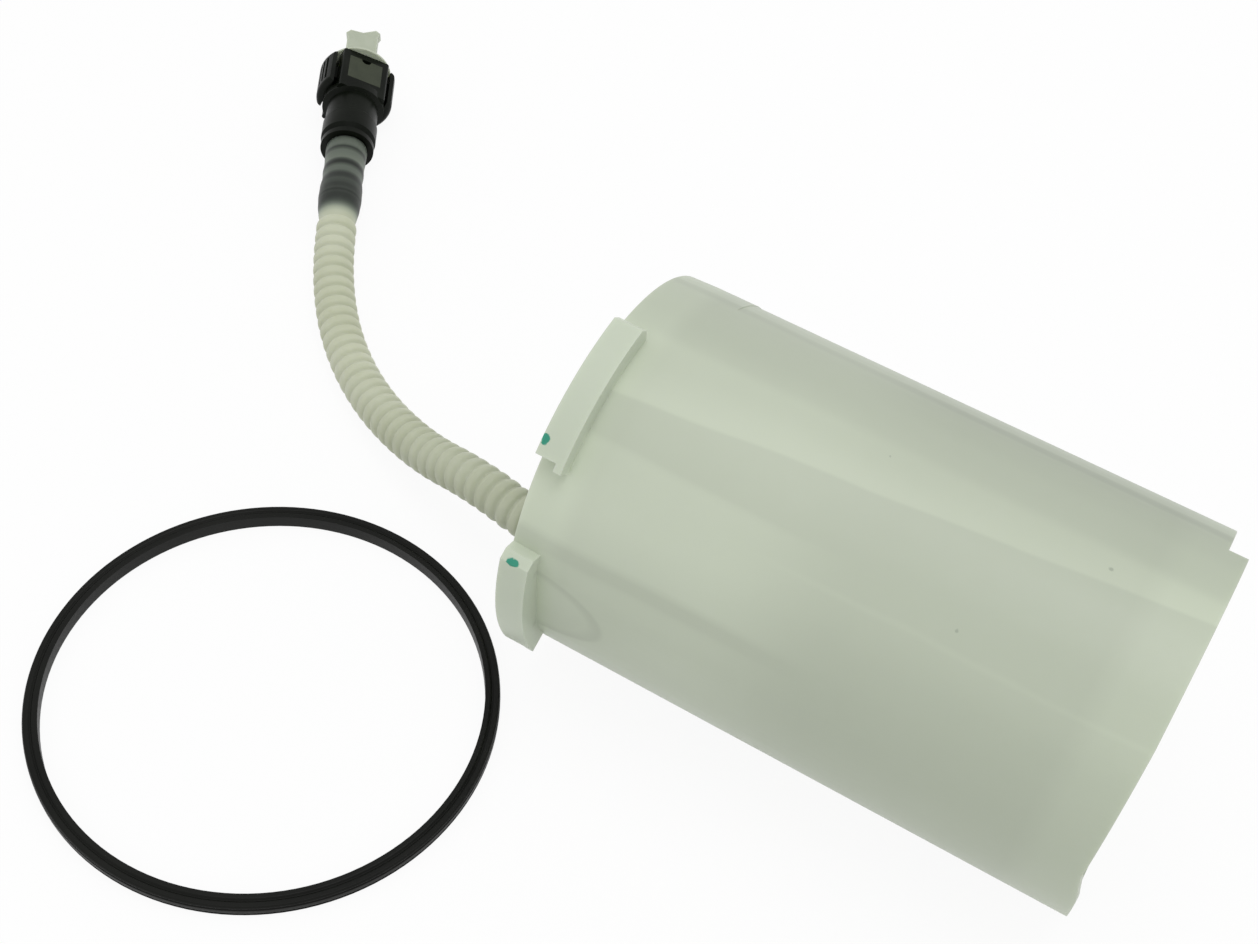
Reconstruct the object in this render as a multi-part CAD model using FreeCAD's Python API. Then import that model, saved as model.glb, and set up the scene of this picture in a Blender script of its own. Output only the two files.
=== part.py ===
import FreeCAD, Part
import math
import os
from FreeCAD import Placement, Rotation, Vector

# Electric fuel pump in a natural white reservoir pot that lies on its side, with its corrugated
# hose, black quick connector, dust plug and loose seal ring.
# Millimetres. The pot is drawn upright, bottom rim at height 0 and bayonet mouth on top, and is
# laid down at the end. Clock angles are counted round the pot from its far side, over its top.

os.makedirs("parts", exist_ok=True)

# Reservoir pot
pot_r = 52.5
pot_length = 160.5
pot_wall = 2.6
skirt_height = 12.0
floor_thickness = 2.6
lug_rise = 5.6
lug_height = 8.2
lug_span = 42.0
lug_lead = 2.2
lug_stop_span = 2.0
lug_stop_height = 2.2
lug_clocks = (114.3, 184.3, 329.0)
scallop_clock = 182.0
scallop_depth = 1.35
scallop_length = 19.0
land_clock = 42.0
land_span = 40.0
land_depth = 0.25
land_to_mouth = 20.0
notch_clock = 40.0
notch_span = 56.0
notch_depth = 5.0
gap_clocks = (176.0, 296.0)
gap_depth = 1.6
gap_run_in = 36.0
gap_run_out = 11.0
ledge_width = 1.6
ledge_height = 3.0
mouth_lead = 0.3

# Pot cover
cover_recess = 12.0
cover_thickness = 3.0
cover_skirt = 8.0
cover_skirt_wall = 2.0
cover_rib = 3.0
cover_rib_width = 1.6
vent_place = (12.0, -34.0)
vent_r = 1.5
vent_chimney_r = 3.2
vent_chimney_height = 4.0
socket_place = (-5.0, 25.0)
socket_length = 22.0
socket_width = 14.0
socket_wall = 1.5
blade_spacing = 10.0
blade_width = 4.8
blade_thickness = 0.8
blade_above = 8.0
blade_below = 8.0

# Outlet nipple and stub on the cover
nipple_bore_r = 2.6
nipple_collar_r = 6.2
nipple_collar_height = 3.0
barb_r = 4.2
barb_root_r = 3.7
barb_length = 12.0
barb_count = 3
stub_r = 7.5
spigot_entry = 6.0

# Pump set: where it stands in the pot, and its outlet direction
pump_bearing = 206.565
pump_to_wall = 3.14
outlet_bearing = 213.7
spigot_offset = 9.0
shell_r = 19.0
shell_wall = 1.5
shell_lip = 2.0
lip_thickness = 1.0
shell_lift = 14.4
pump_headroom = 41.5
inlet_cover_height = 6.0
inlet_stub_r = 5.0
inlet_stub_wall = 1.2
inlet_stub_length = 6.0
inlet_offset = 8.5
housing_height = 10.0
channel_r = 13.4
channel_section_r = 1.7
channel_gap = 40.0

# Impeller and motor
impeller_r = 15.0
impeller_height = 3.8
vane_count = 26
vane_pocket_width = 2.4
vane_web = 0.4
balance_hole_r = 1.2
shaft_r = 2.0
bush_r = 4.0
bush_height = 5.0
magnet_thickness = 3.6
magnet_span = 140.0
magnet_lift = 6.0
magnet_overhang = 2.0
clip_span = 12.0
core_gap = 0.6
core_slots = 8
slot_foot = 1.8
slot_width = 4.6
slot_depth = 4.4
slot_mouth = 1.2
slot_to_rim = 1.2
winding_overhang = 6.0
commutator_r = 11.0
commutator_height = 3.0
commutator_gap = 0.5
commutator_to_cap = 1.5
shaft_hub_r = 5.0
brush_radial = 4.0
brush_tangential = 6.0
brush_height = 8.0
brush_offset = 7.5

# Outlet end cap with its two valves
cap_shoulder_height = 6.0
cap_head_height = 9.0
spigot_r = 5.0
spigot_bore_r = 3.7
spigot_height = 22.0
passage_r = 2.2
check_head_r = 3.3
check_head_height = 2.0
check_stem_r = 1.3
check_spring_length = 9.0
check_guide_height = 2.5
relief_offset = 10.0
relief_bore_r = 1.9
relief_passage_r = 1.0
relief_ball_r = 1.7
relief_depth = 11.0
relief_plug_height = 2.0
spring_wire_r = 0.25
brush_wire_r = 0.3
terminal_height = 6.0
lead_r = 1.3

# Pump holder, isolators and strainer
isolator_thickness = 3.5
isolator_height = 8.0
isolator_flange = 2.0
holder_wall = 1.8
holder_shelf = 2.0
holder_window_span = 60.0
holder_window_height = 9.0
floor_ring_height = 3.0
floor_ring_wall = 1.5
strainer_r = 17.0
strainer_height = 5.0
strainer_neck_wall = 1.4
strainer_rim = 1.8

# Suction jet pump and first-fill valve
jet_place = (24.0, 7.5)
jet_pitch = 9.0
jet_feed_r = 3.5
jet_feed_bore_r = 1.6
jet_riser_r = 4.0
jet_riser_bore_r = 2.6
jet_cup_drop = 8.0
jet_feed_top = 45.0
jet_riser_top = 60.0
jet_nipple_r = 1.9
jet_nipple_height = 6.0
jet_nozzle_height = 8.0
jet_orifice_r = 0.5
feed_tube_wall = 1.0
feed_tube_drop = 9.0
valve_place = (22.0, -20.0)
valve_r = 9.0
valve_thickness = 1.2
valve_stem_r = 1.5
valve_head_r = 2.6
valve_lift = 1.8
fill_hole_r = 1.6
fill_hole_circle = 5.6
fill_holes = 6

# Seal ring, which lies by itself beside the pot
ring_r = 64.4
ring_width = 4.2
ring_height = 4.6
ring_groove = 0.55
ring_along = -53.1
ring_side = -90.6

# Hose, quick connector and dust plug
hose_r = 6.6
hose_first_run = 22.0
body_collar_r = 9.0
body_collar_length = 2.6
barrel_r = 9.3
barrel_length = 9.4
neck_r = 8.8
neck_length = 8.0
waist_r = 10.6
waist_length = 3.4
head_length = 19.4
head_width = 16.8
head_depth = 18.0
head_wall = 1.8
pipe_bore_r = 4.1
pipe_barb_length = 24.0
pipe_barb_count = 5
seal_section = 1.9
seal_spacing = 1.6
wing_r = 13.1
wing_depth = 13.0
wing_set_back = 0.4
wing_rounding = 1.8
wing_ribs = 5
wing_rib_depth = 0.7
wing_travel = 1.4
wing_stem_depth = 8.0
wing_stem_inset = 5.0
window_width = 12.0
window_length = 10.7
window_to_mouth = 2.6
window_thickness = 1.2
window_notch_r = 1.7
connector_roll = 24.0
plug_insert = 14.0
plug_dome_r = 11.4
plug_dome_height = 2.4
plug_fin_waist = 10.8
plug_fin_top = 12.2
plug_fin_height = 22.0
plug_fin_thickness = 3.0
plug_fin_turn = -25.0

# Clearances
snug = 0.02
running = 0.04
press = 0.05
loose = 0.15

# Levels and radii that follow from the sizes above
pot_inner_r = pot_r - pot_wall
lug_r = pot_r + lug_rise
floor_top = skirt_height + floor_thickness
cover_top = pot_length - cover_recess
cover_under = cover_top - cover_thickness
cover_seat = cover_under - cover_skirt
nipple_seat = cover_top + nipple_collar_height
shell_low = floor_top + shell_lift
shell_high = cover_under - pump_headroom
shell_bore_r = shell_r - shell_wall
lip_r = shell_bore_r - shell_lip
inlet_low = shell_low + lip_thickness
housing_low = inlet_low + inlet_cover_height
housing_high = housing_low + housing_height
impeller_low = housing_low + (loose / 2)
impeller_top = impeller_low + impeller_height
cap_shoulder = shell_high - lip_thickness
cap_low = cap_shoulder - cap_shoulder_height
cap_top = cap_shoulder + cap_head_height
spigot_top = cap_top + spigot_height
stub_end = spigot_top - spigot_entry
commutator_top = cap_low - commutator_to_cap
commutator_low = commutator_top - commutator_height
winding_top = commutator_low - commutator_gap
core_r = shell_bore_r - press - magnet_thickness - core_gap
core_top = winding_top - winding_overhang
magnet_top = core_top + magnet_overhang
magnet_low = housing_high + magnet_lift
core_low = magnet_low + magnet_overhang
winding_low = core_low - winding_overhang
brush_low = commutator_top + press
brush_top = brush_low + brush_height
holder_inner_r = shell_r + isolator_thickness + 2 * press
holder_outer_r = holder_inner_r + holder_wall
isolator_low = shell_low - isolator_flange - press
shelf_top = isolator_low - press
holder_top = shell_high - lip_thickness - 5.0
jet_riser_place = (jet_place[0], jet_place[1] + jet_pitch)
jet_low = floor_top - floor_thickness - jet_cup_drop
hose_bore_r = barb_r + snug
head_low = body_collar_length + barrel_length + neck_length
mouth = head_low + head_length
pump_reach = pot_inner_r - pump_to_wall - holder_outer_r
pump_place = (
    pump_reach * math.cos(math.radians(pump_bearing)),
    pump_reach * math.sin(math.radians(pump_bearing)),
)
nipple_place = (
    pump_place[0] + spigot_offset * math.cos(math.radians(outlet_bearing)),
    pump_place[1] + spigot_offset * math.sin(math.radians(outlet_bearing)),
)

# The object lies with the middle of its rigid outline over the origin
low_along = ring_along - ring_r
low_side = ring_side - ring_r
high_side = lug_r * math.cos(math.radians(360.0 - lug_clocks[2] - lug_span / 2))
mouth_x = -(low_along + pot_length) / 2
axis_y = -(low_side + high_side) / 2
laid_down = Placement(Vector(mouth_x + pot_length, axis_y, pot_r), Rotation(Vector(0, 1, 0), -90))
in_pump = Placement(
    Vector(pump_place[0], pump_place[1], 0), Rotation(Vector(0, 0, 1), outlet_bearing)
)

# Route of the hose, from the cover's nipple down to the surface and up to the connector's collar
hose_start = laid_down.multVec(Vector(nipple_place[0], nipple_place[1], nipple_seat))
hose_route = [
    hose_start,
    hose_start + Vector(-hose_first_run, 0, 0),
    Vector(-58.7, 39.55, 23.4),
    Vector(-83.5, 46.35, 13.2),
    Vector(-109.9, 57.85, 7.3),
    Vector(-132.4, 73.15, 6.5),
    Vector(-151.3, 93.65, 7.7),
    Vector(-166.3, 118.05, 11.3),
    Vector(-180.7, 142.75, 11.9),
]


def disc(radius, low, high, place=(0.0, 0.0)):
    """Upright cylinder between two heights."""
    return Part.makeCylinder(radius, high - low, Vector(place[0], place[1], low))


def tube(outer, inner, low, high, place=(0.0, 0.0)):
    """Upright cylinder with a bore from end to end."""
    return disc(outer, low, high, place).cut(disc(inner, low, high, place))


def cone(low_r, high_r, low, high, place=(0.0, 0.0)):
    """Upright cone between two heights."""
    return Part.makeCone(low_r, high_r, high - low, Vector(place[0], place[1], low))


def block(length, width, low, high, place=(0.0, 0.0)):
    """Upright box about a point in plan."""
    corner = Vector(place[0] - length / 2, place[1] - width / 2, low)
    return Part.makeBox(length, width, high - low, corner)


def turned(profile, degrees=360.0):
    """Solid turned about the upright axis from its (radius, height) corners."""
    corners = [Vector(radius, 0, height) for radius, height in profile]
    face = Part.Face(Part.makePolygon(corners + corners[:1]))
    return face.revolve(Vector(0, 0, 0), Vector(0, 0, 1), degrees)


def flat_sided(sides, section_r, centre=(0.0, 0.0)):
    """Corners of a regular section about a point, with a flat side on top."""
    corners = []
    for index in range(sides):
        angle = math.radians((index + 0.5) * 360.0 / sides) + math.pi / 2
        corners.append((centre[0] + section_r * math.cos(angle), centre[1] + section_r * math.sin(angle)))
    return corners


def sector(inner, outer, low, high, centre, span):
    """Piece of an upright ring about a bearing in degrees from the X axis."""
    whole = Part.makeCylinder(outer, high - low, Vector(0, 0, low), Vector(0, 0, 1), span)
    piece = whole.cut(disc(inner, low - 1, high + 1)) if inner > 0 else whole
    return turned_to(piece, centre - span / 2)


def turned_to(shape, degrees):
    """Copy of a shape turned about the upright axis."""
    copy = shape.copy()
    copy.rotate(Vector(0, 0, 0), Vector(0, 0, 1), degrees)
    return copy


def moved_to(shape, x, y, z=0.0):
    """Copy of a shape moved in plan and height."""
    copy = shape.copy()
    copy.translate(Vector(x, y, z))
    return copy


def bearing(clock):
    """Bearing from the X axis of a clock angle."""
    return 90.0 - clock


def spring(radius, wire_r, low, high, turns, place=(0.0, 0.0)):
    """Coil spring of square wire between two heights."""
    rise = high - low - 2 * wire_r
    path = Part.makeHelix(rise / turns, rise, radius)
    corners = [
        Vector(radius - wire_r, 0, -wire_r),
        Vector(radius + wire_r, 0, -wire_r),
        Vector(radius + wire_r, 0, wire_r),
        Vector(radius - wire_r, 0, wire_r),
    ]
    section = Part.Wire(Part.makePolygon(corners + corners[:1]))
    coil = path.makePipeShell([section], True, True)
    return moved_to(coil, place[0], place[1], low + wire_r)


def rounded_path(points):
    """Straight runs joined by arcs that touch both their runs, and the radii of those arcs."""
    edges = []
    radii = []
    start = points[0]
    for before, corner, after in zip(points, points[1:], points[2:]):
        run_in = corner - before
        run_out = after - corner
        turn = run_in.getAngle(run_out)
        reach = 0.45 * min(run_in.Length, run_out.Length)
        radius = reach / math.tan(turn / 2)
        arrive = Vector(run_in).normalize()
        leave = Vector(run_out).normalize()
        arc_start = corner - arrive * reach
        arc_end = corner + leave * reach
        inward = (leave - arrive).normalize()
        middle = corner + inward * (radius / math.cos(turn / 2) - radius)
        edges.append(Part.LineSegment(start, arc_start).toShape())
        edges.append(Part.Arc(arc_start, middle, arc_end).toShape())
        radii.append(radius)
        start = arc_end
    edges.append(Part.LineSegment(start, points[-1]).toShape())
    return Part.Wire(edges), radii


def rod_along(points, radius):
    """Round rod swept along a rounded path."""
    path, radii = rounded_path(points)
    section = Part.Face(Part.Wire(Part.makeCircle(radius, points[0], points[1] - points[0])))
    return path.makePipe(section), path.Length, radii


def thin_rod_along(points, radius):
    """Eight-sided rod swept along a rounded path, for thin leads and tubes."""
    corners = [Vector(x, y, 0) for x, y in flat_sided(8, radius)]
    section = Part.Face(Part.makePolygon(corners + corners[:1]))
    section.Placement = Placement(points[0], Rotation(Vector(0, 0, 1), points[1] - points[0]))
    return rounded_path(points)[0].makePipe(section)


def barbed(low, high, root_r, crest_r, count):
    """Turned outline of a hose barb whose teeth point to its free, upper end."""
    pitch = (high - low) / count
    outline = [(0.0, low)]
    for tooth in range(count):
        foot = low + tooth * pitch
        outline.append((root_r, foot))
        outline.append((crest_r, foot + 0.25 * pitch))
    outline.append((root_r, high))
    outline.append((0.0, high))
    return turned(outline)


def make_reservoir_pot():
    """Moulded pot: wall, recessed floor, cover ledge, lugs and the cut-backs of its rim."""
    ledge_r = pot_inner_r - ledge_width
    pot = turned([
        (0.0, skirt_height),
        (pot_inner_r, skirt_height),
        (pot_inner_r, 0.0),
        (pot_r, 0.0),
        (pot_r, pot_length - lug_height),
        (pot_r - mouth_lead, pot_length),
        (pot_inner_r, pot_length),
        (pot_inner_r, cover_seat),
        (ledge_r, cover_seat),
        (ledge_r, cover_seat - ledge_height),
        (pot_inner_r, cover_seat - ledge_height - 2 * ledge_width),
        (pot_inner_r, floor_top),
        (0.0, floor_top),
    ])
    lug = make_lug()
    for clock in lug_clocks:
        pot = pot.fuse(turned_to(lug, bearing(clock)))
    ring = tube(
        holder_outer_r + loose + floor_ring_wall, holder_outer_r + loose,
        floor_top - floor_thickness / 2, floor_top + floor_ring_height, pump_place
    )
    pot = pot.fuse(ring)
    pot = pot.cut(scallop())
    pot = pot.cut(rim_cuts())
    pot = pot.cut(floor_holes())
    return pot.removeSplitter()


def make_lug():
    """Bayonet lug about the X axis: bevelled where it enters, with a small stop at its other end."""
    low = pot_length - lug_height
    root_r = pot_r - pot_wall / 2
    lug = sector(root_r, lug_r, low, pot_length, 0.0, lug_span)
    corner = turned_to(Part.Vertex(lug_r, 0, low), lug_span / 2)
    entry = [edge for edge in lug.Edges if is_upright(edge) and edge.distToShape(corner)[0] < snug]
    lug = lug.makeChamfer(lug_lead, entry)
    stop_centre = -(lug_span + lug_stop_span) / 2
    stop = sector(root_r, lug_r, low, low + lug_stop_height, stop_centre, lug_stop_span + 0.5)
    return lug.fuse(stop)


def scallop():
    """Tilted flat that runs out of the wall's surface below one lug."""
    top = pot_length - lug_height
    corners = [
        Vector(pot_r - scallop_depth, 0, top),
        Vector(lug_r, 0, top),
        Vector(lug_r, 0, top - scallop_length),
        Vector(pot_r, 0, top - scallop_length),
    ]
    face = Part.Face(Part.makePolygon(corners + corners[:1]))
    cutter = moved_to(face.extrude(Vector(0, pot_r, 0)), 0, -pot_r / 2)
    return turned_to(cutter, bearing(scallop_clock))


def rim_cuts():
    """Shallow land up the far side, the deep notch below it and the long gaps of the rim."""
    land = sector(
        pot_r - land_depth, lug_r, -1, pot_length - land_to_mouth, bearing(land_clock), land_span
    )
    notch = sector(
        pot_inner_r - 1, lug_r, -1, notch_depth, bearing(notch_clock), notch_span
    )
    cuts = land.fuse(notch)
    for clock in gap_clocks:
        cuts = cuts.fuse(turned_to(rim_gap(), bearing(clock)))
    return cuts


def rim_gap():
    """Cut-back of the rim about the X axis: it slants in slowly and out again steeply."""
    corners = [
        Vector(0, -gap_run_out, -1),
        Vector(0, -gap_run_out, 0),
        Vector(0, 0, gap_depth),
        Vector(0, gap_run_in, 0),
        Vector(0, gap_run_in, -1),
    ]
    face = Part.Face(Part.makePolygon(corners + corners[:1]))
    return face.extrude(Vector(lug_r, 0, 0))


def floor_holes():
    """Holes in the floor for the first-fill valve and the jet pump's cup."""
    low = skirt_height - 1
    high = floor_top + 1
    holes = disc(valve_stem_r + loose, low, high, valve_place)
    for index in range(fill_holes):
        angle = 2 * math.pi * index / fill_holes
        x = valve_place[0] + fill_hole_circle * math.cos(angle)
        y = valve_place[1] + fill_hole_circle * math.sin(angle)
        holes = holes.fuse(disc(fill_hole_r, low, high, (x, y)))
    return holes.fuse(jet_outline(low, high, press))


def make_pot_cover():
    """Cover with its skirt, outlet nipple and stub, plug socket, vent and stiffening ribs."""
    cover_r = pot_inner_r - press
    cover = disc(cover_r, cover_under, cover_top)
    cover = cover.fuse(tube(cover_r, cover_r - cover_skirt_wall, cover_seat, cover_under + 1))
    for degrees in (0.0, 90.0):
        rib = block(2 * cover_r - 2, cover_rib_width, cover_under - cover_rib, cover_under + 1)
        cover = cover.fuse(turned_to(rib, degrees))
    cover = cover.fuse(disc(nipple_collar_r, cover_top - 1, nipple_seat, nipple_place))
    barb = barbed(nipple_seat, nipple_seat + barb_length, barb_root_r, barb_r, barb_count)
    cover = cover.fuse(moved_to(barb, nipple_place[0], nipple_place[1]))
    cover = cover.fuse(disc(stub_r, stub_end, cover_under + 1, nipple_place))
    shroud = block(socket_length, socket_width, cover_top - 1, pot_length, socket_place)
    cover = cover.fuse(shroud)
    chimney = disc(vent_chimney_r, cover_top - 1, cover_top + vent_chimney_height, vent_place)
    cover = cover.fuse(chimney)
    cover = cover.cut(disc(vent_r, cover_under - cover_rib - 1, pot_length, vent_place))
    inside = block(
        socket_length - 2 * socket_wall, socket_width - 2 * socket_wall,
        cover_top, pot_length + 1, socket_place
    )
    cover = cover.cut(inside)
    cover = cover.cut(outlet_way())
    for side in (-0.5, 0.5):
        place = (socket_place[0] + side * blade_spacing, socket_place[1])
        slot = block(
            blade_thickness + 2 * snug, blade_width + 2 * snug, cover_under - cover_rib - 1,
            cover_top + 1, place
        )
        cover = cover.cut(slot)
    return cover.removeSplitter()


def outlet_way():
    """Bore through stub and nipple, stepped for the pump's spigot and its seal."""
    spigot_seat = spigot_top + loose
    way = disc(nipple_bore_r, spigot_seat - 1, nipple_seat + barb_length + 1, nipple_place)
    way = way.fuse(disc(spigot_r + press, stub_end - 1, spigot_seat, nipple_place))
    way = way.fuse(disc(outlet_seal_r() + snug, stub_end - 1, outlet_seal_top(), nipple_place))
    start = Vector(nipple_place[0], nipple_place[1], feed_port_height())
    side_port = Part.makeCylinder(jet_feed_bore_r, stub_r + 2 * jet_nipple_height, start, feed_heading())
    return way.fuse(side_port)


def outlet_seal_r():
    """Outer radius of the spigot's seal."""
    return spigot_r + seal_section


def outlet_seal_top():
    """Height at which the spigot's seal stops in the stub."""
    return stub_end + seal_section + loose


def feed_port_height():
    """Height of the small side port that feeds the jet pump."""
    return cover_under - cover_rib - feed_tube_drop / 2


def feed_heading():
    """Level direction from the outlet stub to the jet pump."""
    heading = Vector(jet_place[0] - nipple_place[0], jet_place[1] - nipple_place[1], 0)
    return heading.normalize()


def make_cover_terminals():
    """Two flat blades that pass through the cover into its socket."""
    blades = []
    for side in (-0.5, 0.5):
        place = (socket_place[0] + side * blade_spacing, socket_place[1])
        blades.append(block(
            blade_thickness, blade_width, cover_under - blade_below, cover_top + blade_above, place
        ))
    return Part.makeCompound(blades)


def make_pump_shell():
    """Steel tube with both ends rolled in over the end pieces."""
    shell = tube(shell_r, shell_bore_r, shell_low, shell_high)
    low_lip = tube(shell_bore_r + 0.5, lip_r, shell_low, inlet_low)
    high_lip = tube(shell_bore_r + 0.5, lip_r, cap_shoulder, shell_high)
    return shell.fuse(low_lip).fuse(high_lip).removeSplitter()


def flow_channel(height):
    """Ring groove round the impeller's vanes, left closed between inlet and outlet ports."""
    groove = turned(flat_sided(6, channel_section_r, (channel_r, height)), 360.0 - channel_gap)
    return turned_to(groove, channel_gap / 2)


def make_inlet_cover():
    """Lower pump cover: flow channel on top, inlet stub below, thrust seat in the middle."""
    cover = disc(shell_bore_r - press, inlet_low, housing_low)
    place = (inlet_offset, 0.0)
    cover = cover.fuse(disc(inlet_stub_r, inlet_low - inlet_stub_length, inlet_low + 1, place))
    bore_r = inlet_stub_r - inlet_stub_wall
    cover = cover.cut(disc(bore_r, inlet_low - inlet_stub_length - 1, housing_low - 2.5, place))
    port_low = housing_low - 3.5
    port = block(
        channel_r - inlet_offset, 2 * channel_section_r, port_low, housing_low,
        ((channel_r + inlet_offset) / 2, 0.0)
    )
    port = port.fuse(disc(channel_section_r, port_low, housing_low + 1, (channel_r, 0.0)))
    cover = cover.cut(port)
    cover = cover.cut(flow_channel(housing_low))
    cover = cover.cut(disc(shaft_r + running, housing_low - 2, housing_low + 1))
    return cover.removeSplitter()


def make_impeller_housing():
    """Upper pump housing: pocket for the impeller, flow channel, outlet port and bush seat."""
    housing = disc(shell_bore_r - press, housing_low, housing_high)
    pocket_top = impeller_top + loose / 2
    housing = housing.cut(disc(impeller_r + loose, housing_low - 1, pocket_top))
    housing = housing.cut(flow_channel(pocket_top))
    housing = housing.cut(disc(bush_r + snug, housing_high - bush_height, housing_high + 1))
    housing = housing.cut(disc(shaft_r + loose, housing_low, housing_high))
    port = disc(channel_section_r, housing_low, housing_high + 1, (-channel_r, 0.0))
    return housing.cut(port).removeSplitter()


def vane_pocket(level, inward):
    """Pocket between two vanes, open to one face of the wheel and to its rim."""
    depth = impeller_height / 2 - vane_web / 2
    corners = [
        Vector(impeller_r - depth, -vane_pocket_width / 2, level),
        Vector(impeller_r - 0.7 * depth, -vane_pocket_width / 2, level + 0.7 * inward * depth),
        Vector(impeller_r, -vane_pocket_width / 2, level + inward * depth),
        Vector(impeller_r + depth, -vane_pocket_width / 2, level + inward * depth),
        Vector(impeller_r + depth, -vane_pocket_width / 2, level - inward * depth),
        Vector(impeller_r - depth, -vane_pocket_width / 2, level - inward * depth),
    ]
    face = Part.Face(Part.makePolygon(corners + corners[:1]))
    return face.extrude(Vector(0, vane_pocket_width, 0))


def make_impeller():
    """Turbine wheel: two rows of vane pockets round its rim, balance holes and a keyed bore."""
    wheel = disc(impeller_r, impeller_low, impeller_top)
    pockets = []
    for pocket in (vane_pocket(impeller_low, 1), vane_pocket(impeller_top, -1)):
        for index in range(vane_count):
            pockets.append(turned_to(pocket, 360.0 * index / vane_count))
    wheel = wheel.cut(Part.makeCompound(pockets))
    bore = disc(shaft_r + snug, impeller_low - 1, impeller_top + 1)
    flat = block(4 * shaft_r, shaft_r, impeller_low - 1, impeller_top + 1, (0, shaft_flat() + shaft_r / 2))
    wheel = wheel.cut(bore.cut(moved_to(flat, 0, snug)))
    for index in range(3):
        angle = 2 * math.pi * index / 3
        place = (2.6 * shaft_r * math.cos(angle), 2.6 * shaft_r * math.sin(angle))
        wheel = wheel.cut(disc(balance_hole_r, impeller_low - 1, impeller_top + 1, place))
    return wheel


def shaft_flat():
    """Distance of the drive flat from the shaft's axis."""
    return 0.7 * shaft_r


def make_motor_shaft():
    """Ground shaft with a flat for the impeller."""
    low = impeller_low - 1.5
    top = cap_low + bush_height
    shaft = disc(shaft_r, low, top)
    flat = block(4 * shaft_r, shaft_r, low - 1, impeller_top, (0, shaft_flat() + shaft_r / 2))
    return shaft.cut(flat)


def core_slot(low, high, gap):
    """Prism of a winding slot along the X axis, drawn in from the slot's walls by a gap."""
    outer = core_r - slot_to_rim - gap
    inner = core_r - slot_to_rim - slot_depth + gap
    foot = slot_foot / 2 - gap
    half = slot_width / 2 - gap
    corners = [
        Vector(inner, -foot, low),
        Vector(outer - 0.2 * slot_depth, -half, low),
        Vector(outer, -foot, low),
        Vector(outer, foot, low),
        Vector(outer - 0.2 * slot_depth, half, low),
        Vector(inner, foot, low),
    ]
    face = Part.Face(Part.makePolygon(corners + corners[:1]))
    return face.extrude(Vector(0, 0, high - low))


def make_armature_core():
    """Laminated core with tapered winding slots open to its rim."""
    core = tube(core_r, shaft_r, core_low, core_top)
    slot = core_slot(core_low - 1, core_top + 1, 0.0)
    slot = slot.fuse(block(4 * slot_to_rim, slot_mouth, core_low - 1, core_top + 1, (core_r, 0)))
    slots = [turned_to(slot, 360.0 * index / core_slots) for index in range(core_slots)]
    return core.cut(Part.makeCompound(slots))


def make_armature_windings():
    """Enamelled wire: a bundle in each slot between two rings of end turns."""
    inner = shaft_r
    outer = core_r - 1.0
    coils = []
    for low, high in ((winding_low, core_low), (core_top, winding_top)):
        coils.append(tube(outer, inner, low, high))
    for index in range(core_slots):
        bundle = core_slot(core_low, core_top, snug)
        coils.append(turned_to(bundle, 360.0 * index / core_slots))
    return coils[0].multiFuse(coils[1:]).removeSplitter()


def make_commutator():
    """Flat carbon-faced commutator with a gap between each pair of bars."""
    disc_part = tube(commutator_r, shaft_r, commutator_low, commutator_top)
    hub = tube(shaft_hub_r, shaft_r, winding_top, commutator_low + 0.5)
    gap = block(commutator_r, 0.6, commutator_top - 1.2, commutator_top + 1, (commutator_r, 0))
    gaps = [turned_to(gap, 360.0 * (index + 0.5) / core_slots) for index in range(core_slots)]
    return disc_part.fuse(hub).cut(Part.makeCompound(gaps)).removeSplitter()


def make_magnets():
    """Two ferrite shells against the inside of the steel tube."""
    outer = shell_bore_r - press
    shells = []
    for centre in (0.0, 180.0):
        shells.append(sector(
            outer - magnet_thickness, outer, magnet_low, magnet_top, centre, magnet_span
        ))
    return Part.makeCompound(shells)


def make_magnet_clips():
    """Two sprung steel channels wedged between the magnet shells."""
    outer = shell_bore_r - press
    clips = []
    for centre in (90.0, 270.0):
        span = 180.0 - magnet_span - 2.0
        low = magnet_low + 2
        high = magnet_top - 2
        clip = sector(outer - magnet_thickness + 0.6, outer, low, high, centre, span)
        hollow = sector(0, outer - 0.6, low - 1, high + 1, centre, span - clip_span / 2)
        clips.append(clip.cut(hollow))
    return Part.makeCompound(clips)


def make_bush(low):
    """Sintered bronze bearing bush."""
    return tube(bush_r, shaft_r + running, low, low + bush_height)


def make_pump_end_cap():
    """Outlet cap: bush seat, brush tunnels, outlet spigot and relief valve bore."""
    cap = disc(shell_bore_r - press, cap_low, cap_shoulder)
    cap = cap.fuse(disc(lip_r - press, cap_shoulder - 1, cap_top))
    outlet = (spigot_offset, 0.0)
    relief = (-relief_offset, 0.0)
    cap = cap.fuse(disc(spigot_r, cap_top - 1, spigot_top, outlet))
    collar_top = stub_end - loose
    cap = cap.fuse(disc(outlet_seal_r() - 0.2, collar_top - 1.5, collar_top, outlet))
    cap = cap.cut(disc(spigot_bore_r, cap_top, spigot_top + 1, outlet))
    cap = cap.cut(disc(passage_r, cap_low - 1, cap_top + 1, outlet))
    cap = cap.cut(disc(bush_r + snug, cap_low - 1, cap_low + bush_height))
    cap = cap.cut(disc(relief_passage_r, cap_low - 1, cap_top, relief))
    cap = cap.cut(disc(relief_bore_r, cap_top - relief_depth, cap_top + 1, relief))
    for side in (-1, 1):
        place = (0.0, side * brush_offset)
        tunnel = block(
            brush_tangential + 2 * running, brush_radial + 2 * running, cap_low - 1, cap_top - 1.5, place
        )
        slot = block(3.0 + 2 * snug, blade_thickness + 2 * snug, cap_top - 2, cap_top + 1, place)
        cap = cap.cut(tunnel).cut(slot)
    return cap.removeSplitter()


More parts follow.
